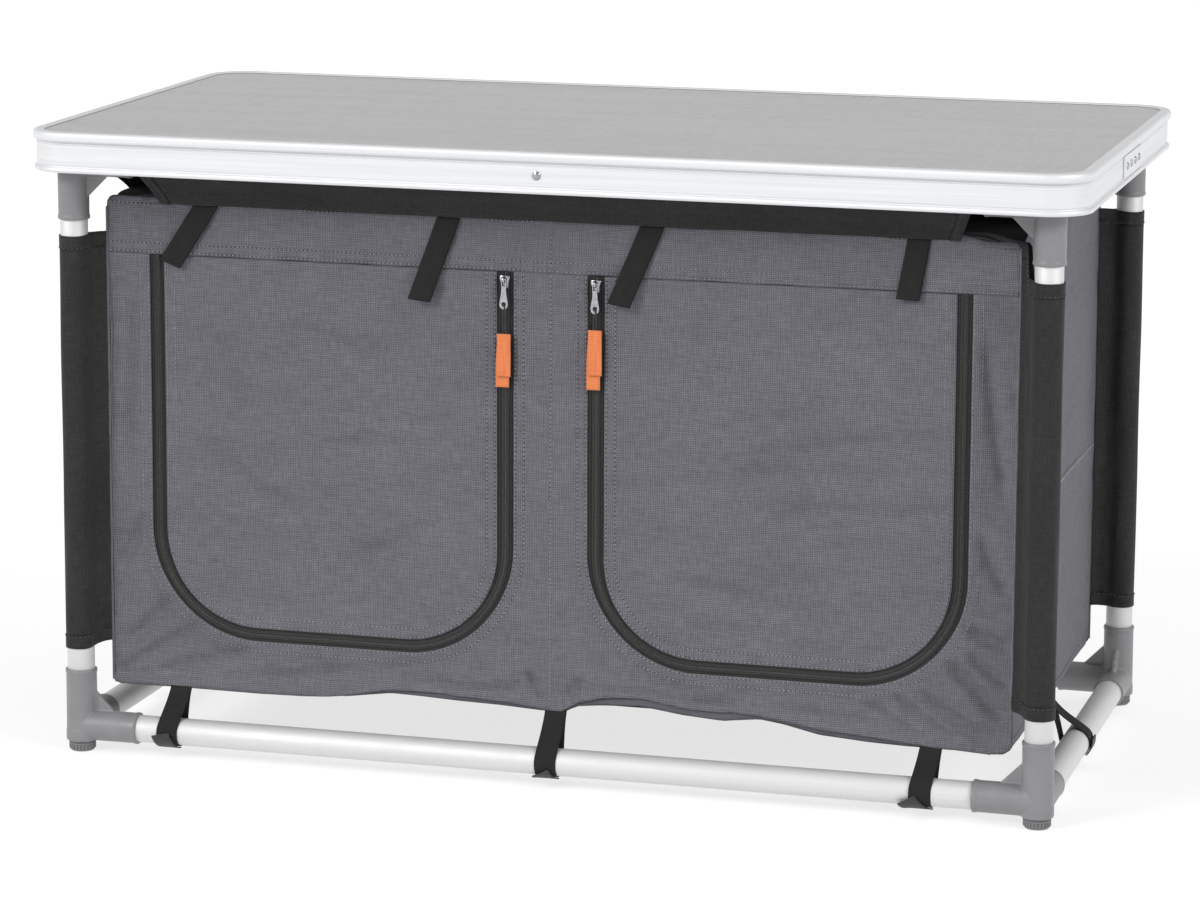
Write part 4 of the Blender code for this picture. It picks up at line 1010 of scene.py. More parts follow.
PLATE_X, PLATE_WALL = 0.4986, 0.0014
plate_low, plate_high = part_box("edge_splice_plate")
plate_z = (plate_low[2] + plate_high[2]) / 2
half_y, half_z = (plate_high[1] - plate_low[1]) / 2, (plate_high[2] - plate_low[2]) / 2
plate = cut_piece("plate", [(-half_y, -half_z), (half_y, -half_z), (half_y, half_z), (-half_y, half_z)],
                  lambda a, b: (PLATE_X + 0.0012, a, plate_z + b), brushed_anodised_edge, spacing=0.004,
                  wall=PLATE_WALL, facing=(1, 0, 0))
rounded(plate, 0.0005, 3)
heads = rivets([(PLATE_X + 0.0013, (i - 1.5) * 0.0225, plate_z) for i in range(4)], 0.0034, 0.0017, (1, 0, 0))
fitted(merged("splice_plate_with_rivets", [plate], [heads]), "tabletop", "edge_splice_plate")

rivet_low, rivet_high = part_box("edge_rivet")
front_head = rivets([(0.0, -TOP_Y + 0.0030, (rivet_low[2] + rivet_high[2]) / 2)], 0.0038, 0.0018, (0, -1, 0))
fitted(merged("front_edge_rivet", [], [front_head]), "tabletop", "edge_rivet")


# Cabinet front
# The folds of its cloth: where each starts and ends as x and z, its half width and its depth
FRONT_FOLDS = (
    (-0.430, 0.072, -0.345, 0.128, 0.007, 0.0034), (-0.425, 0.098, -0.375, 0.150, 0.006, 0.0026),
    (-0.400, 0.070, -0.300, 0.104, 0.006, 0.0026), (-0.300, 0.078, -0.180, 0.092, 0.006, 0.0018),
    (0.388, 0.064, 0.326, 0.104, 0.0055, 0.0032), (0.415, 0.067, 0.352, 0.110, 0.0055, 0.0036),
    (0.426, 0.094, 0.377, 0.142, 0.0055, 0.0036), (0.433, 0.158, 0.394, 0.174, 0.0055, 0.0030),
    (0.360, 0.064, 0.300, 0.096, 0.0055, 0.0022), (0.432, 0.124, 0.396, 0.150, 0.0050, 0.0024),
    (0.220, 0.085, 0.320, 0.078, 0.006, 0.0018), (0.060, 0.088, 0.190, 0.080, 0.006, 0.0016),
    (-0.040, 0.085, -0.150, 0.078, 0.006, 0.0016), (0.004, 0.066, 0.030, 0.100, 0.004, 0.0024),
    (0.000, 0.064, -0.022, 0.104, 0.004, 0.0024), (0.230, 0.330, 0.370, 0.346, 0.010, 0.0018),
    (0.210, 0.268, 0.370, 0.280, 0.010, 0.0020), (0.180, 0.300, 0.300, 0.312, 0.009, 0.0015),
    (-0.360, 0.300, -0.250, 0.240, 0.011, 0.0016), (-0.250, 0.420, -0.150, 0.380, 0.012, 0.0015),
    (0.120, 0.200, 0.260, 0.170, 0.011, 0.0018), (-0.200, 0.190, -0.110, 0.240, 0.011, 0.0016),
    (0.404, 0.440, 0.424, 0.300, 0.006, 0.0022), (-0.413, 0.440, -0.420, 0.280, 0.005, 0.0018),
    (0.300, 0.440, 0.340, 0.380, 0.010, 0.0016), (-0.330, 0.400, -0.300, 0.330, 0.010, 0.0014),
    (0.402, 0.260, 0.428, 0.210, 0.006, 0.0022), (-0.402, 0.230, -0.426, 0.180, 0.006, 0.0018),
)


def from_zip(x, z):
    """Distance from a place on the front to the nearest zip's middle line."""
    over = abs(abs(x) - (ZIP_INNER + ZIP_OUTER) / 2) - (ZIP_OUTER - ZIP_INNER) / 2 + ZIP_RADIUS
    under = ZIP_LOW + ZIP_RADIUS - z
    return abs(math.hypot(max(over, 0.0), max(under, 0.0)) + min(max(over, under), 0.0) - ZIP_RADIUS)


def front_y(x, z):
    """Where the front cloth's face lies: at the cabinet's front plane, and sunk a little between seams."""
    calm = 0.2 + 0.8 * eased((from_zip(x, z) - 0.008) / 0.018)
    calm *= 0.3 + 0.7 * eased(abs(x) / 0.02)
    calm *= 0.04 + 0.96 * eased((z - hem_z(x) - 0.004) / 0.012)
    calm *= 0.25 + 0.75 * eased((SEAM_Z - z) / 0.03)
    if z > 0.35:
        calm *= 1 - 0.8 * eased((z - 0.35) / 0.03) * (1 - eased(abs(abs(x) - ZIP_INNER) / 0.04))
    sunk = 0.0030 * swell(x, z, 3.0, 0.10) + 0.0016 * swell(x * 0.5, z, 7.0, 0.028)
    sunk += 3.2 * creases(x, z, FRONT_FOLDS)
    # The floor board's edge stands close behind the cloth, so the cloth sinks less there
    room = 0.0060 + 0.0040 * eased((z - 0.084) / 0.02)
    return -CAB_Y + room * math.tanh(sunk * calm / room)


def hem_z(x):
    """The silhouette of the front's bottom edge."""
    return CAB_LOW + between(HEM_WAVE, x / CAB_X)


def zip_line(side, offset, top):
    """Points (x, z) an offset outwards from a zip's middle line, from its inner top round to its outer top.

    Cloth edges and seams, from ZIP_HALF on, close in on the zip along its outer side, and most along its
    bottom.
    """
    bend = ZIP_LOW + ZIP_RADIUS
    left, right = ZIP_INNER + ZIP_RADIUS, ZIP_OUTER - ZIP_RADIUS
    path = [(ZIP_INNER, top + (bend - top) * i / 60, math.pi) for i in range(60)]
    for centre, start in ((left, math.pi), (right, math.pi * 1.5)):
        path += [(centre + ZIP_RADIUS * math.cos(angle), bend + ZIP_RADIUS * math.sin(angle), angle)
                 for angle in np.linspace(start, start + math.pi / 2, 25)]
        if centre == left:
            path += [(left + (right - left) * i / 36, ZIP_LOW, math.pi * 1.5) for i in range(1, 36)]
    path += [(ZIP_OUTER, bend + (top - bend) * i / 60, math.pi * 2) for i in range(1, 61)]
    points = []
    for x, z, angle in path:
        out = offset
        if abs(offset) >= ZIP_HALF:
            closer = max(0.0004 + 0.0009 * eased((x - 0.20) / 0.15), 0.0021 * eased((0.25 - z) / 0.10))
            out -= math.copysign(closer, offset)
        points.append((side * (x + out * math.cos(angle)), z + out * math.sin(angle)))
    return points


def on_front(points):
    """Sets (x, z) points on the front cloth's face, as high as its thread lies."""
    return [(x, front_y(x, z) - THREAD_LIFT, z) for x, z in points]


# Lower front cloth: one cut with both door openings, its top tucked behind the band above the seam
FACING_TOP = 0.5000
hem_line = [(-CAB_X + 0.0045, hem_z(-CAB_X) + 0.0010)]
hem_line += [(x, hem_z(x) + between(FOLD_DROP, x / CAB_X))
             for x in np.linspace(-CAB_X + 0.008, CAB_X - 0.008, 176)]
hem_line += [(CAB_X - 0.0045, hem_z(CAB_X) + 0.0010)]
rim = [(-CAB_X, CAB_LOW + 0.0060), (-CAB_X + 0.0012, CAB_LOW + 0.0026), *hem_line,
       (CAB_X - 0.0012, CAB_LOW + 0.0016), (CAB_X, CAB_LOW + 0.0050), (CAB_X, FACING_TOP),
       (-CAB_X, FACING_TOP)]
openings = [zip_line(side, ZIP_HALF, SEAM_Z + 0.0016) for side in (-1, 1)]


def front_place(x, z):
    """The lower front cloth's face; above the seam it lies back behind the band."""
    return (x, front_y(x, z) + 0.0012 * eased((z - SEAM_Z + 0.0005) / 0.002), z)


front_cloth = cut_piece("front_lower_cloth", rim, front_place, grey_oxford_polyester, openings, 0.0031)
fitted(front_cloth, CABINET)


def band_top(x):
    """The top edge of the grey band over the seam: a soft wave, dipping towards its right end."""
    wave = 0.0007 * math.sin(x * 34) + 0.0005 * math.sin(x * 71 + 1)
    return FRONT_TOP - 0.0012 + wave - 0.0065 * eased((x - 0.372) / 0.035)


def slump(x, y, z):
    """How far the cabinet's soft upper corners sink."""
    reach = math.hypot(CAB_X - abs(x), CAB_Y - abs(y))
    return 0.0095 * (1 - eased(reach / 0.040)) * eased((z - 0.480) / 0.050)


def band_place(x, z):
    """The grey band lies on the lower cloth and stands a thread proud at its sewn edge."""
    loose = eased((z - FACING_TOP) / 0.012)
    sunk = 0.0004 + (0.0005 + 0.0022 * loose) * swell(x, z, 5.0, 0.045)
    return (x, -CAB_Y - 0.0003 + sunk, z)


def on_band(points):
    """Sets (x, z) points on the band's face, as high as its thread lies."""
    placed = [band_place(x, z) for x, z in points]
    return [(x, y - THREAD_LIFT, z) for x, y, z in placed]


low_edge = [(x, SEAM_Z + 0.0003 + 0.0004 * noise.noise(Vector((x * 30, 0, 4))))
            for x in np.linspace(-CAB_X, CAB_X, 120)]
top_edge = [(x, band_top(x)) for x in np.linspace(CAB_X - 0.007, -CAB_X + 0.007, 120)]
# Each end's rounded corner: how far in from the end and how far under the top edge
right_end = [(CAB_X - inward, band_top(CAB_X) - under)
             for inward, under in ((0.0, 0.009), (0.0012, 0.0045), (0.0035, 0.0014))]
left_end = [(-CAB_X + inward, band_top(-CAB_X) - under)
            for inward, under in ((0.0035, 0.0014), (0.0012, 0.0045), (0.0, 0.009))]
band = cut_piece("front_top_band", [*low_edge, *right_end, *top_edge, *left_end], band_place,
                 grey_oxford_polyester, spacing=0.0045)
fitted(band, CABINET)

# Under the wavy edge the cabinet's bottom fold shows as a darker strip behind it
FOLD_ENDS = (-0.30, 0.395)
fold_top = [(x, hem_z(x) + between(FOLD_DROP, x / CAB_X) + 0.006) for x in np.linspace(*FOLD_ENDS, 120)]
fold_low = [(x, hem_z(x)) for x in np.linspace(*FOLD_ENDS[::-1], 120)]


def fold_place(x, z):
    """The bottom fold lies just behind the front cloth and leans back upwards."""
    return (x, -CAB_Y + 0.0032 + 0.0006 * swell(x, z, 2.0, 0.03) + 0.3 * max(0.0, z - hem_z(x) - 0.003), z)


fold = cut_piece("bottom_fold", fold_top + fold_low, fold_place, grey_polyester_inside, spacing=0.003)
fitted(fold, CABINET)


TURN_X, TURN_RUN = CAB_X - 0.002, 0.0178


def turned_in(x, run):
    """The cloth's top edge behind the band: up from the band's top and back over the roof's front edge."""
    back = run * 0.84
    start = band_top(x) - 0.006
    level = TURNED_IN_Z - slump(x, -CAB_Y + back, TURNED_IN_Z)
    return (x, -CAB_Y + 0.0013 + back, start + (level - start) * eased(back / 0.008))


turn = cut_piece("front_top_turned_in",
                 [(-TURN_X, 0.0), (TURN_X, 0.0), (TURN_X, TURN_RUN), (-TURN_X, TURN_RUN)], turned_in,
                 grey_oxford_polyester, spacing=0.0025, wall=0.0008, facing=(0, -1, 1))
fitted(turn, CABINET)


def zip_half(name, side, way, body, replaces=None):
    """One half of a zip: a woven tape with a rounded cord along the middle, set under the cloth's cut edge.

    The section's points are a distance from the zip's middle line and a height over the cloth.
    """
    section = [(0.0005, -0.0021), (0.0005, -0.0012), (0.0009, -0.0003), (0.0016, 0.0002), (0.0026, 0.0002),
               (0.0033, -0.0003), (0.0037, -0.0013), (0.0046, -0.0014), (0.0050, -0.0008), (0.0056, -0.0008),
               (0.0060, -0.0014), (0.0084, -0.0015), (0.0150, -0.0016), (0.0150, -0.0021), (0.0090, -0.0021),
               (0.0060, -0.0021)]
    lines = [zip_line(side, way * d, SEAM_Z - 0.0002) for d, h in section]
    middle = zip_line(side, 0.0, SEAM_Z - 0.0002)
    rings = []
    for i, spot in enumerate(middle):
        face = front_y(*spot)
        ring = []
        for line, (d, h) in zip(lines, section):
            x, z = line[i]
            # Beyond the coil the tape lies under the cloth and follows it
            ring.append((x, (face if d < 0.007 else front_y(x, z)) - h, z))
        rings.append(ring)
    tape = skin(name + "_tape", rings, black_zip_tape, smooth=60)
    teeth_line = zip_line(side, way * 0.0004, SEAM_Z - 0.001)
    teeth_row = [(x, front_y(*spot) + 0.0009, z) for (x, z), spot in zip(teeth_line, middle)]
    if way < 0:
        teeth_row = started_later(teeth_row, 0.0010)
    teeth = bars_along([teeth_row], 0.0020, (0.0010, 0.0016, 0.0010), (0, -1, 0), nylon_zip_coil)
    fitted(merged(name, [tape], [teeth]), body, replaces)


def beside_zip(side, distances):
    """Stitch rows on the front cloth beside a zip."""
    return [on_front(zip_line(side, distance, SEAM_Z - 0.002)) for distance in distances]


for side, label in SIDES:
    zip_half(f"{label}_zip_frame_half", side, 1, CABINET)
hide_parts("front_panel")
for side, label in SIDES:
    flap = cut_piece(f"{label}_door_cloth", zip_line(side, -ZIP_HALF, SEAM_Z - 0.0003),
                     lambda x, z: (x, front_y(x, z), z), grey_oxford_polyester, spacing=0.0036)
    fitted(flap, f"{label}_door_flap", f"{label}_door")
    zip_half(f"{label}_zip_door_half", side, -1, f"{label}_door_flap", f"{label}_door_zip")
    sewn(f"{label}_door_topstitching", beside_zip(side, (-ZIP_HALF - 0.0018, -ZIP_HALF - 0.0100)), (0, -1, 0),
         polyester_sewing_thread, f"{label}_door_flap")

rows = [row for side, label in SIDES for row in beside_zip(side, (ZIP_HALF + 0.0016, ZIP_HALF + 0.0095))]
rows.append(on_front([(0.0, z) for z in np.linspace(SEAM_Z - 0.003, hem_z(0.0) + 0.008, 90)]))
sewn("frame_topstitching", rows, (0, -1, 0), polyester_sewing_thread)
across = np.linspace(-CAB_X + 0.004, CAB_X - 0.004, 180)
rows = [on_band([(x, SEAM_Z + rise) for x in across]) for rise in (0.0024, 0.0105)]
rows.append(on_band([(x, band_top(x) - 0.0062) for x in across]))
rows.append(on_band([(0.0, z) for z in np.linspace(SEAM_Z + 0.003, FRONT_TOP - 0.004, 20)]))
sewn("band_stitching", rows, (0, -1, 0), polyester_sewing_thread)


# Cabinet sides, back, roof and boards
def side_cloth(side, label):
    """A cabinet side: taut cloth with the shelf's seam across it and a rounded lower back corner."""
    def place(y, z):
        sunk = 0.0022 * swell(y, z, 8.0 + side, 0.10) * (1 - 0.7 * math.exp(-((z - SHELF_Z) / 0.012) ** 2))
        return (side * (CAB_X - sunk), y, z - slump(CAB_X, y, z))

    low, bend = CAB_LOW + 0.001, 0.016
    front_end, back_end = -CAB_Y + 0.0014, CAB_Y - 0.0003
    curve = [(back_end - bend + bend * math.sin(a), low + bend - bend * math.cos(a))
             for a in (math.radians(d) for d in range(0, 91, 10))]
    outline = [(front_end, low), *curve, (back_end, CAB_TOP), (front_end, CAB_TOP)]
    made = cut_piece(f"{label}_side_cloth", outline, place, grey_oxford_polyester, facing=(side, 0, 0))
    fitted(made, CABINET, f"{label}_side_panel")
    depth = np.linspace(-CAB_Y + 0.004, CAB_Y - 0.006, 90)
    welt = tube_along(f"{label}_shelf_seam", [(place(y, SHELF_Z)[0], y, SHELF_Z) for y in depth], 0.0007,
                      polyester_sewing_thread, 8)
    fitted(welt)
    rows = [[(place(y, z)[0] + side * 0.0003, y, z) for y in depth]
            for z in (SHELF_Z + 0.004, CAB_LOW + 0.008)]
    sewn(f"{label}_side_stitching", rows, (side, 0, 0), polyester_sewing_thread)


for side, label in SIDES:
    side_cloth(side, label)


def back_place(x, z):
    """The back's face: taut, with the divider's and shelves' seams pulled in."""
    sunk = 0.0022 * swell(x, z, 12.0, 0.14) + 0.0009 * math.exp(-((z - SHELF_Z) / 0.005) ** 2)
    sunk += 0.0009 * math.exp(-(x / 0.005) ** 2)
    return (x, CAB_Y - sunk, z - slump(x, CAB_Y, z))


right_half = [(CAB_X - 0.003, CAB_LOW), (CAB_X, CAB_LOW + 0.006), (CAB_X, CAB_TOP)]
left_half = [(-x, z) for x, z in right_half[::-1]]
back = cut_piece("back_cloth", left_half[-1:] + right_half + left_half[:-1], back_place,
                 grey_oxford_polyester, spacing=0.006, facing=(0, 1, 0))
fitted(back, CABINET, "back_panel")
rows = [[(x, back_place(x, z)[1] + 0.0003, z) for x in np.linspace(-CAB_X + 0.01, CAB_X - 0.01, 180)]
        for z in (SHELF_Z, CAB_LOW + 0.009, CAB_TOP - 0.010)]
rows.append([(0.0, back_place(0.0, z)[1] + 0.0003, z)
             for z in np.linspace(CAB_LOW + 0.01, CAB_TOP - 0.01, 90)])
sewn("back_stitching", rows, (0, 1, 0), polyester_sewing_thread)

# The cloth's own corner seams, turned over a thin cord
for corner, (sx, sy) in CORNERS.items():
    route = [(sx * (CAB_X - 0.0002), sy * (CAB_Y - 0.0004), z - slump(CAB_X, CAB_Y, z))
             for z in np.linspace(CAB_LOW + 0.004, CAB_TOP + 0.001, 60)]
    pipe = tube_along(f"corner_piping_{corner}", route, 0.0011, grey_oxford_polyester, 12)
    fitted(pipe, CABINET)


def covered_board(node_name, look, short):
    """A stiff panel wrapped in cloth: rounded edges, a slightly uneven cover, and cut short of the walls."""
    low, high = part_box(node_name)
    sizes = [b - a for a, b in zip(low, high)]
    thin = sizes.index(min(sizes))
    a_axis, b_axis = [i for i in range(3) if i != thin]
    face = [0, 0, 0]
    face[thin] = 1
    inset = 0.0004

    def place(a, b):
        spot = [0, 0, 0]
        spot[a_axis], spot[b_axis] = a, b
        spot[thin] = high[thin] - inset * 0.5 - inset * swell(a, b, 6.0, 0.04)
        return tuple(spot)

    la, ha, lb, hb = low[a_axis] + short, high[a_axis] - short, low[b_axis] + short, high[b_axis] - short
    made = cut_piece(node_name + "_covered", [(la, lb), (ha, lb), (ha, hb), (la, hb)], place, look,
                     spacing=0.012, wall=sizes[thin] - 2 * inset, facing=face)
    rounded(made, min(sizes) * 0.35, 3)
    fitted(made, CABINET, node_name)


for node_name, look, slot_name, short in (
        ("floor_panel", black_oxford_polyester, "covered_board", 0.0065),
        ("left_shelf", black_oxford_polyester, "covered_board", 0.0035),
        ("right_shelf", black_oxford_polyester, "covered_board", 0.0035),
        ("centre_divider", grey_polyester_inside, "grey_cloth", 0.0045)):
    covered_board(node_name, look, short)


# Black cloth round the upper rails, the roof and the legs
def rail_sleeve(name, tip, half, where, seed, lift, count, slanted, replaces=None):
    """A cloth sleeve along a rail, and its rings. where(p, q, s) sets a section point at a distance s along.

    slanted is how much further each end reaches round the rail than at the tip.
    """
    ring = teardrop(tip)
    rings = []
    # As shares of the length: how deep the hem is, and the short run on which it rises
    hem, rise = 0.0098 / (2 * half), 0.0009
    marks = sorted([i / count for i in range(count + 1)] + [hem, hem + rise, 1 - hem - rise, 1 - hem])
    for along in marks:
        points = []
        for j, (p, q) in enumerate(ring):
            far = half + slanted * (1 - share_out(tip, p, q))
            s = -far + 2 * far * along
            out = outward(ring, j)
            puff = noise.noise(Vector((s * 22, j * 0.16, seed)))
            puff += 0.5 * noise.noise(Vector((s * 70, j * 0.3, seed + 3)))
            hem_wall = 0.0009 if min(along, 1 - along) < hem + 0.0001 else 0.0
            puff = max(-0.00015, puff * lift) + hem_wall
            points.append(where(p + out.x * puff, q + out.y * puff, s))
        rings.append(points)
    made = skin(name, rings, black_oxford_polyester, capped=False, wall=0.0007, smooth=60)
    fitted(made, CABINET, replaces)
    return rings


ALONG_HALF, DEEP_HALF = 0.381, 0.154
band_rings = rail_sleeve("front_band_sleeve", (0.0119, -0.0387), ALONG_HALF,
                         lambda p, q, s: (s, -LEG_Y + p, UPPER_AXIS + q), seed=21.0, lift=0.0009, count=220,
                         slanted=0.0145, replaces="front_rail_sleeve")

# The band's slanted ends are turned in and sewn
front_layer = range(len(band_rings[0]) - 26, len(band_rings[0]))
ends = [[(x, y - 0.0006, z) for x, y, z in (band_rings[i][j] for j in front_layer)] for i in (2, -3)]
sewn("band_end_stitching", ends, (0, -1, 0), black_sewing_thread, pitch=0.0036)

tip_z = SLEEVE_TIP_Z - UPPER_AXIS
rail_sleeve("roof_sleeve_back", (-(LEG_Y - CAB_Y + 0.001), tip_z), ALONG_HALF,
            lambda p, q, s: (s, LEG_Y + p, UPPER_AXIS + q), seed=31.0, lift=0.0007, count=160, slanted=0.008)
for side, label in SIDES:
    rail_sleeve(f"roof_sleeve_{label}", (-side * (LEG_X - CAB_X + 0.0012), tip_z), DEEP_HALF,
                lambda p, q, s: (side * LEG_X + p, s, UPPER_AXIS + q), seed=41.0 + side, lift=0.0007,
                count=80, slanted=0.010)
roof = cut_piece("roof_cloth",
                 [(-CAB_X, -CAB_Y + 0.0019), (CAB_X, -CAB_Y + 0.0019), (CAB_X, CAB_Y), (-CAB_X, CAB_Y)],
                 lambda x, y: (x, y, ROOF_Z - 0.0006 * swell(x, y, 15.0, 0.09) - slump(x, y, ROOF_Z)),
                 black_oxford_polyester, spacing=0.008, wall=0.0006, facing=(0, 0, 1))
fitted(roof, CABINET, "roof_panel")


def leg_sleeve(corner, sx, sy):
    """A black sleeve round a leg: drawn together beside it, then two flat layers to the cabinet's corner."""
    tip = (-sx * 0.0266, -sy * 0.0138)
    ring = teardrop(tip, 1.05 if corner == "front_right" else 0.62)
    low, high, count = 0.1014, 0.4993, 100
    marks = sorted(set([i / count for i in range(count + 1)] + [0.0295, 0.0302, 0.9698, 0.9705]))
    seams = [min(marks, key=lambda mark: abs(mark - place)) for place in (0.026, 0.974)]
    rings = []
    for share in marks:
        points, above = [], []
        for j, (p, q) in enumerate(ring):
            near_tip = eased(share_out(tip, p, q))
            bottom = low + (0.0050 if corner == "front_left" else 0.0012) * near_tip
            top = high + 0.0025 * near_tip
            if corner == "front_right":
                # Here the sewn edge runs on up the cabinet's corner to the roof
                top += 0.030 * eased((near_tip - 0.72) / 0.12)
            z = bottom + (top - bottom) * share
            out = outward(ring, j)
            flap = eased(near_tip * 1.5 - 0.3)
            puff = 0.0007 * noise.noise(Vector((j * 0.22, z * 9, 50 + sx * 3 + sy)))
            puff += 0.0018 * flap * noise.noise(Vector((j * 0.05, z * 22, 60 + sx * 3 + sy)))
            puff = max(-0.0002, puff) + (0.00035 if share < 0.030 or share > 0.970 else 0.0)
            points.append((sx * LEG_X + p + out.x * puff, sy * LEG_Y + q + out.y * puff, z))
            above.append((points[-1][0] + out.x * 0.0006, points[-1][1] + out.y * 0.0006, z))
        rings.append(points)
        if share in seams:
            end = "low" if share < 0.5 else "high"
            sewn(f"leg_sleeve_{corner}_hem_{end}", [above[3:-3]], (0, 0, 1), black_sewing_thread)
    made = skin(f"leg_sleeve_{corner}_sewn", rings, black_oxford_polyester, capped=False, wall=0.0008,
                smooth=60)
    fitted(made, CABINET, f"leg_sleeve_{corner}")


for corner, (sx, sy) in CORNERS.items():
    leg_sleeve(corner, sx, sy)


# Zip sliders and pulls. Their own outlines are in millimetres.
SLIDER_Z, SLIDER_BACK, SLIDER_FRONT = 0.4730, -0.2153, -0.2183
PULL_Y, PULL_Z = -0.2197, 0.4750


def zip_slider(side, label):
    """A chromed slider: waisted body with rounded edges and the arch that carries the pull."""
    x0 = side * ZIP_INNER
    half = [(0.0, -6.0), (2.4, -6.0), (3.2, -5.3), (3.4, -3.2), (3.4, -1.0), (3.9, 1.0), (4.6, 2.8),
            (4.75, 4.4), (4.2, 5.5), (2.6, 6.0), (0.0, 6.0)]
    loop = half + [(-a, b) for a, b in half[-2:0:-1]]
    rings = []
    for y, inset in ((SLIDER_BACK, 0.5), (SLIDER_BACK - 0.0005, 0.0), (SLIDER_BACK - 0.0010, 0.1),
                     (SLIDER_BACK - 0.0012, 0.8), (SLIDER_BACK - 0.0018, 0.8), (SLIDER_BACK - 0.0020, 0.1),
                     (SLIDER_FRONT + 0.0005, 0.0), (SLIDER_FRONT + 0.0001, 0.4), (SLIDER_FRONT, 1.2)):
        rings.append([(x0 + (a - math.copysign(min(abs(a), inset), a)) / 1000, y,
                       SLIDER_Z + b * (1 - inset / 6) / 1000) for a, b in loop])
    body = skin("body", rings, chromed_zinc_casting, smooth=70)
    path = []
    for i in range(17):
        angle = math.pi * i / 16
        path.append((SLIDER_FRONT + 0.0004 - 0.0040 * math.sin(angle), PULL_Z + 0.0030 * math.cos(angle)))
    wire = [(0.0012 * math.cos(t), 0.0005 * math.sin(t)) for t in np.linspace(0, 2 * math.pi, 12, False)]
    rings = []
    for i, (y, z) in enumerate(path):
        after, before = path[min(i + 1, 16)], path[max(i - 1, 0)]
        run = Vector((after[0] - before[0], after[1] - before[1])).normalized()
        out = Vector((-run.y, run.x))
        rings.append([(x0 + a, y + out.x * b, z + out.y * b) for a, b in wire])
    arch = skin("arch", rings, chromed_zinc_casting, smooth=70)
    made = merged(f"{label}_slider_chromed", [body, arch])
    fitted(made, f"{label}_slider", f"{label}_zip_slider")


def curved(loop, steps):
    """A closed loop of points with a smooth curve through them."""
    points = []
    for i in range(len(loop)):
        p0, p1, p2, p3 = (Vector(loop[(i + k) % len(loop)]) for k in (-1, 0, 1, 2))
        for t in (k / steps for k in range(steps)):
            points.append(0.5 * ((2 * p1) + (p2 - p0) * t + (2 * p0 - 5 * p1 + 4 * p2 - p3) * t * t
                                 + (3 * p1 - p0 - 3 * p2 + p3) * t ** 3))
    return points


def pull_tab(x0, low_back, low_front, top):
    """The folded orange tab and the thread of its two seams: one layer up behind, one down in front."""
    half_width, half_gap, fold_z = 0.0064, 0.0009, top - 0.001
    path = [(half_gap, z, -0.0016 * eased((top - z) / 0.03)) for z in np.linspace(low_back, fold_z, 26)]
    path += [(half_gap * math.cos(a), fold_z + 0.0012 * math.sin(a), 0.0)
             for a in np.linspace(0.35, math.pi - 0.35, 6)]
    path += [(-half_gap, z, 0.0004) for z in np.linspace(fold_z, low_front, 24)]
    rings = []
    for i, (y, z, shift) in enumerate(path):
        ring = []
        for k in range(9):
            a = -half_width + 2 * half_width * k / 8
            curl = 0.0005 * (a / half_width) ** 2 * (1 if i < 26 else -1) * 0.3
            ring.append((x0 + a + shift, PULL_Y + y + curl + 0.0002 * math.sin(z * 160), z))
        rings.append(ring)
    tab = skin("tab", rings, orange_polyester_webbing, ring_closed=False, wall=0.0011, smooth=60)
    rows = [[(x0 + a + 0.0004, PULL_Y - 0.0016, z) for a in np.linspace(-0.0058, 0.0058, 8)]
            for z in (low_front + 0.0050, top - 0.0045)]
    return tab, bars_along(rows, 0.0026, (0.0018, 0.0008, 0.0006), (0, -1, 0), orange_polyester_webbing)


def zip_pull(side, label):
    """The pull: a drop-shaped tongue with an eye, a cord loop and a folded orange tab."""
    x0 = side * ZIP_INNER
    outline = [(-2.4, 1.3), (-2.6, 0.6), (-2.5, -4.5), (-2.3, -9.0), (-2.6, -13.0), (-3.3, -17.0),
               (-4.0, -20.5), (-4.15, -23.0), (-3.6, -25.3), (-2.3, -26.9), (0.0, -27.5)]
    outline += [(-a, b) for a, b in outline[-2::-1]]
    window = [(-1.5, -0.9), (-1.5, -5.6), (1.5, -5.6), (1.5, -0.9)]
    eye = [(a, b - 22.6) for a, b in circle(2.0, 20)]
    metres = [[(a / 1000, b / 1000) for a, b in loop] for loop in (outline, window, eye)]
    tongue = cut_piece("tongue", metres[0], lambda a, b: (x0 + a, PULL_Y - 0.0007, PULL_Z + b),
                       chromed_zinc_casting, holes=metres[1:], spacing=0.0012, wall=0.0014)
    rounded(tongue, 0.0003, 2)
    for face in tongue.data.polygons:
        face.use_smooth = True
    loop = [(x0 + a, PULL_Y + b, PULL_Z + c) for a, b, c in [
        (0.0, -0.0016, -0.0216), (0.0007, -0.0019, -0.0238), (0.0012, -0.0016, -0.0280),
        (0.0014, -0.0010, -0.0340), (0.0013, -0.0004, -0.0400), (0.0007, 0.0, -0.0452), (0.0, 0.0, -0.0462),
        (-0.0007, 0.0, -0.0452), (-0.0013, 0.0002, -0.0400), (-0.0014, 0.0008, -0.0340),
        (-0.0012, 0.0014, -0.0280), (-0.0006, 0.0016, -0.0238), (0.0, 0.0014, -0.0214), (0.0, 0.0, -0.0206)]]
    cord = tube_along("cord", curved(loop, 4), 0.00055, black_braided_cord, 10, True)
    heights = (0.3748, 0.3850, 0.4240) if side < 0 else (0.3768, 0.3905, 0.4318)
    tab, seams = pull_tab(x0, *heights)
    made = merged(f"{label}_pull_with_tab", [tongue, cord, tab], [seams])
    fitted(made, f"{label}_pull", f"{label}_zip_pull")


for side, label in SIDES:
    zip_slider(side, label)
    zip_pull(side, label)


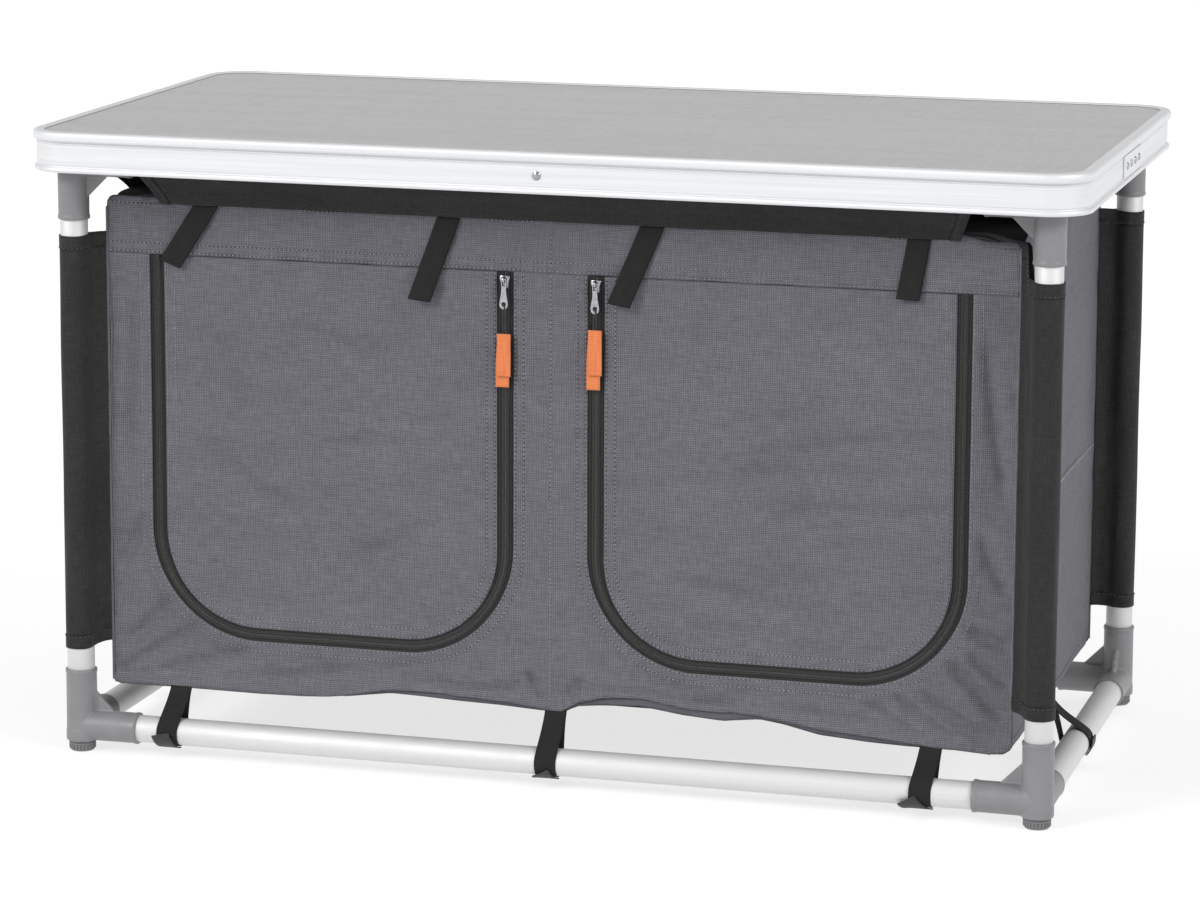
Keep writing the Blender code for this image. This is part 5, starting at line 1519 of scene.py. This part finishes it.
# Roll-up straps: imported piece, body, side, place across the door as a share of its half width, sideways run,
# drop, lift off the cloth at the free end, and the degrees that its end is cut at
DOOR_MIDDLE, DOOR_HALF = 0.2145, 0.1710
STRAP_HALF, STRAP_TOP, STRAP_Y = 0.0105, 0.5300, -0.2156
STRAPS = (
    ("roll_strap_1", "strap_1", -1, -0.709, -0.0346, 0.0555, 0.0070, 22),
    ("roll_strap_2", "strap_2", -1, 0.683, -0.0272, 0.0780, 0.0085, 7),
    ("roll_strap_3", "strap_3", 1, -0.692, -0.0302, 0.0735, 0.0080, 10),
    ("roll_strap_4", "strap_4", 1, 0.751, -0.0090, 0.0550, 0.0055, 4),
)
for node_name, body, side, share, slant, drop, lift, cut in STRAPS:
    # The webbing lies close to the cloth at its sewn end, so that it clears the band when a door lifts it
    x0 = side * DOOR_MIDDLE + share * DOOR_HALF
    run = Vector((slant, -drop))
    lean, cut = math.atan2(-slant, drop), math.radians(cut)
    across = Vector((math.cos(cut), -math.sin(cut))) * (STRAP_HALF / math.cos(lean - cut))
    rings = []
    for i in range(31):
        t = i / 30
        edge = Vector((STRAP_HALF / math.cos(lean), 0.0)).lerp(across, eased(t / 0.4))
        middle = run * t
        ring = []
        for k in range(9):
            w = -1 + 2 * k / 8
            y = STRAP_Y - lift * t ** 1.4 * (1 - 0.25 * t)
            y -= 0.0008 * w * t * math.copysign(1, slant)
            y += 0.0006 * w * w * t
            ring.append((x0 + middle.x + edge.x * w, y, STRAP_TOP + middle.y + edge.y * w))
        rings.append(ring)
    made = skin(node_name + "_webbing", rings, black_polypropylene_webbing, ring_closed=False,
                facing=(0, -1, 0), wall=0.0010, smooth=60)
    fitted(made, body, node_name)


# Ties round the lower rails
TIE_WIDTH = 0.0205


def tie(name, tip, where, skew, flap, seed):
    """A hook-and-loop tie: a strap sewn to the cabinet's edge and round the rail, its fuzzy end pressed on.

    The end's four corners are given as millimetres across the strap and degrees round the rail.
    """
    ring = teardrop(tip, lean=1.25, steps=30, layers=8, gap=0.0006)
    rings = []
    for k in range(9):
        w = -TIE_WIDTH / 2 + TIE_WIDTH * k / 8
        points = []
        for j, (p, q) in enumerate(ring):
            out = outward(ring, j)
            puff = 0.0005 * noise.noise(Vector((j * 0.2, w * 60, seed)))
            points.append(where(p + out.x * puff, q + out.y * puff, w + skew * (1 - share_out(tip, p, q))))
        rings.append(points)
    strap = skin("strap", rings, black_polypropylene_webbing, capped=False, wall=0.0009, smooth=60)
    (w0, a0), (w1, a1), (w2, a2), (w3, a3) = flap
    rings = []
    for t in (i / 18 for i in range(19)):
        row = []
        for u in (k / 10 for k in range(11)):
            w = ((w0 * (1 - u) + w1 * u) * (1 - t) + (w3 * (1 - u) + w2 * u) * t) / 1000
            bend = math.radians((a0 * (1 - u) + a1 * u) * (1 - t) + (a3 * (1 - u) + a2 * u) * t)
            stray = max(0.0, abs(w) - TIE_WIDTH / 2)
            rise = SLEEVE_RADIUS + 0.0015 + 0.0012 * (1 - t) ** 2 + 0.12 * stray
            row.append(where(rise * math.cos(bend), rise * math.sin(bend), w + skew))
        rings.append(row)
    end = skin("flap", rings, hook_and_loop_pile, ring_closed=False, wall=0.0012, smooth=60)
    fitted(merged(name + "_hook_and_loop", [strap, end]), CABINET, name)


for name, share, skew, flap in (
        ("tie_front_left", -0.790, -0.0060, ((-14, 186), (3, 174), (10.5, 262), (-9, 262))),
        ("tie_front_middle", 0.013, -0.0030, ((-13, 229), (3.5, 195), (11, 262), (-10, 268))),
        ("tie_front_right", 0.782, -0.0050, ((-20, 212), (-4, 181), (11, 262), (-14, 262)))):
    x = share * LEG_X
    rise = min(hem_z(x + k * TIE_WIDTH) for k in (-0.5, -0.25, 0, 0.25, 0.5)) - LOWER_AXIS + 0.0040
    tie(name, (0.0152, rise), lambda p, q, s: (x + s, -LEG_Y + p, LOWER_AXIS + q), skew, flap, 71.0 + x)
for side, label in SIDES:
    corners = [(w, 90 - side * a) for w, a in ((-9, 78), (10, 72), (11, 130), (-10, 136))]
    tie(f"tie_{label}", (-side * 0.0296, CAB_LOW - LOWER_AXIS + 0.0030),
        lambda p, q, s: (side * LEG_X + p, -0.015 + s, LOWER_AXIS + q), 0.0, corners, 81.0 + side)
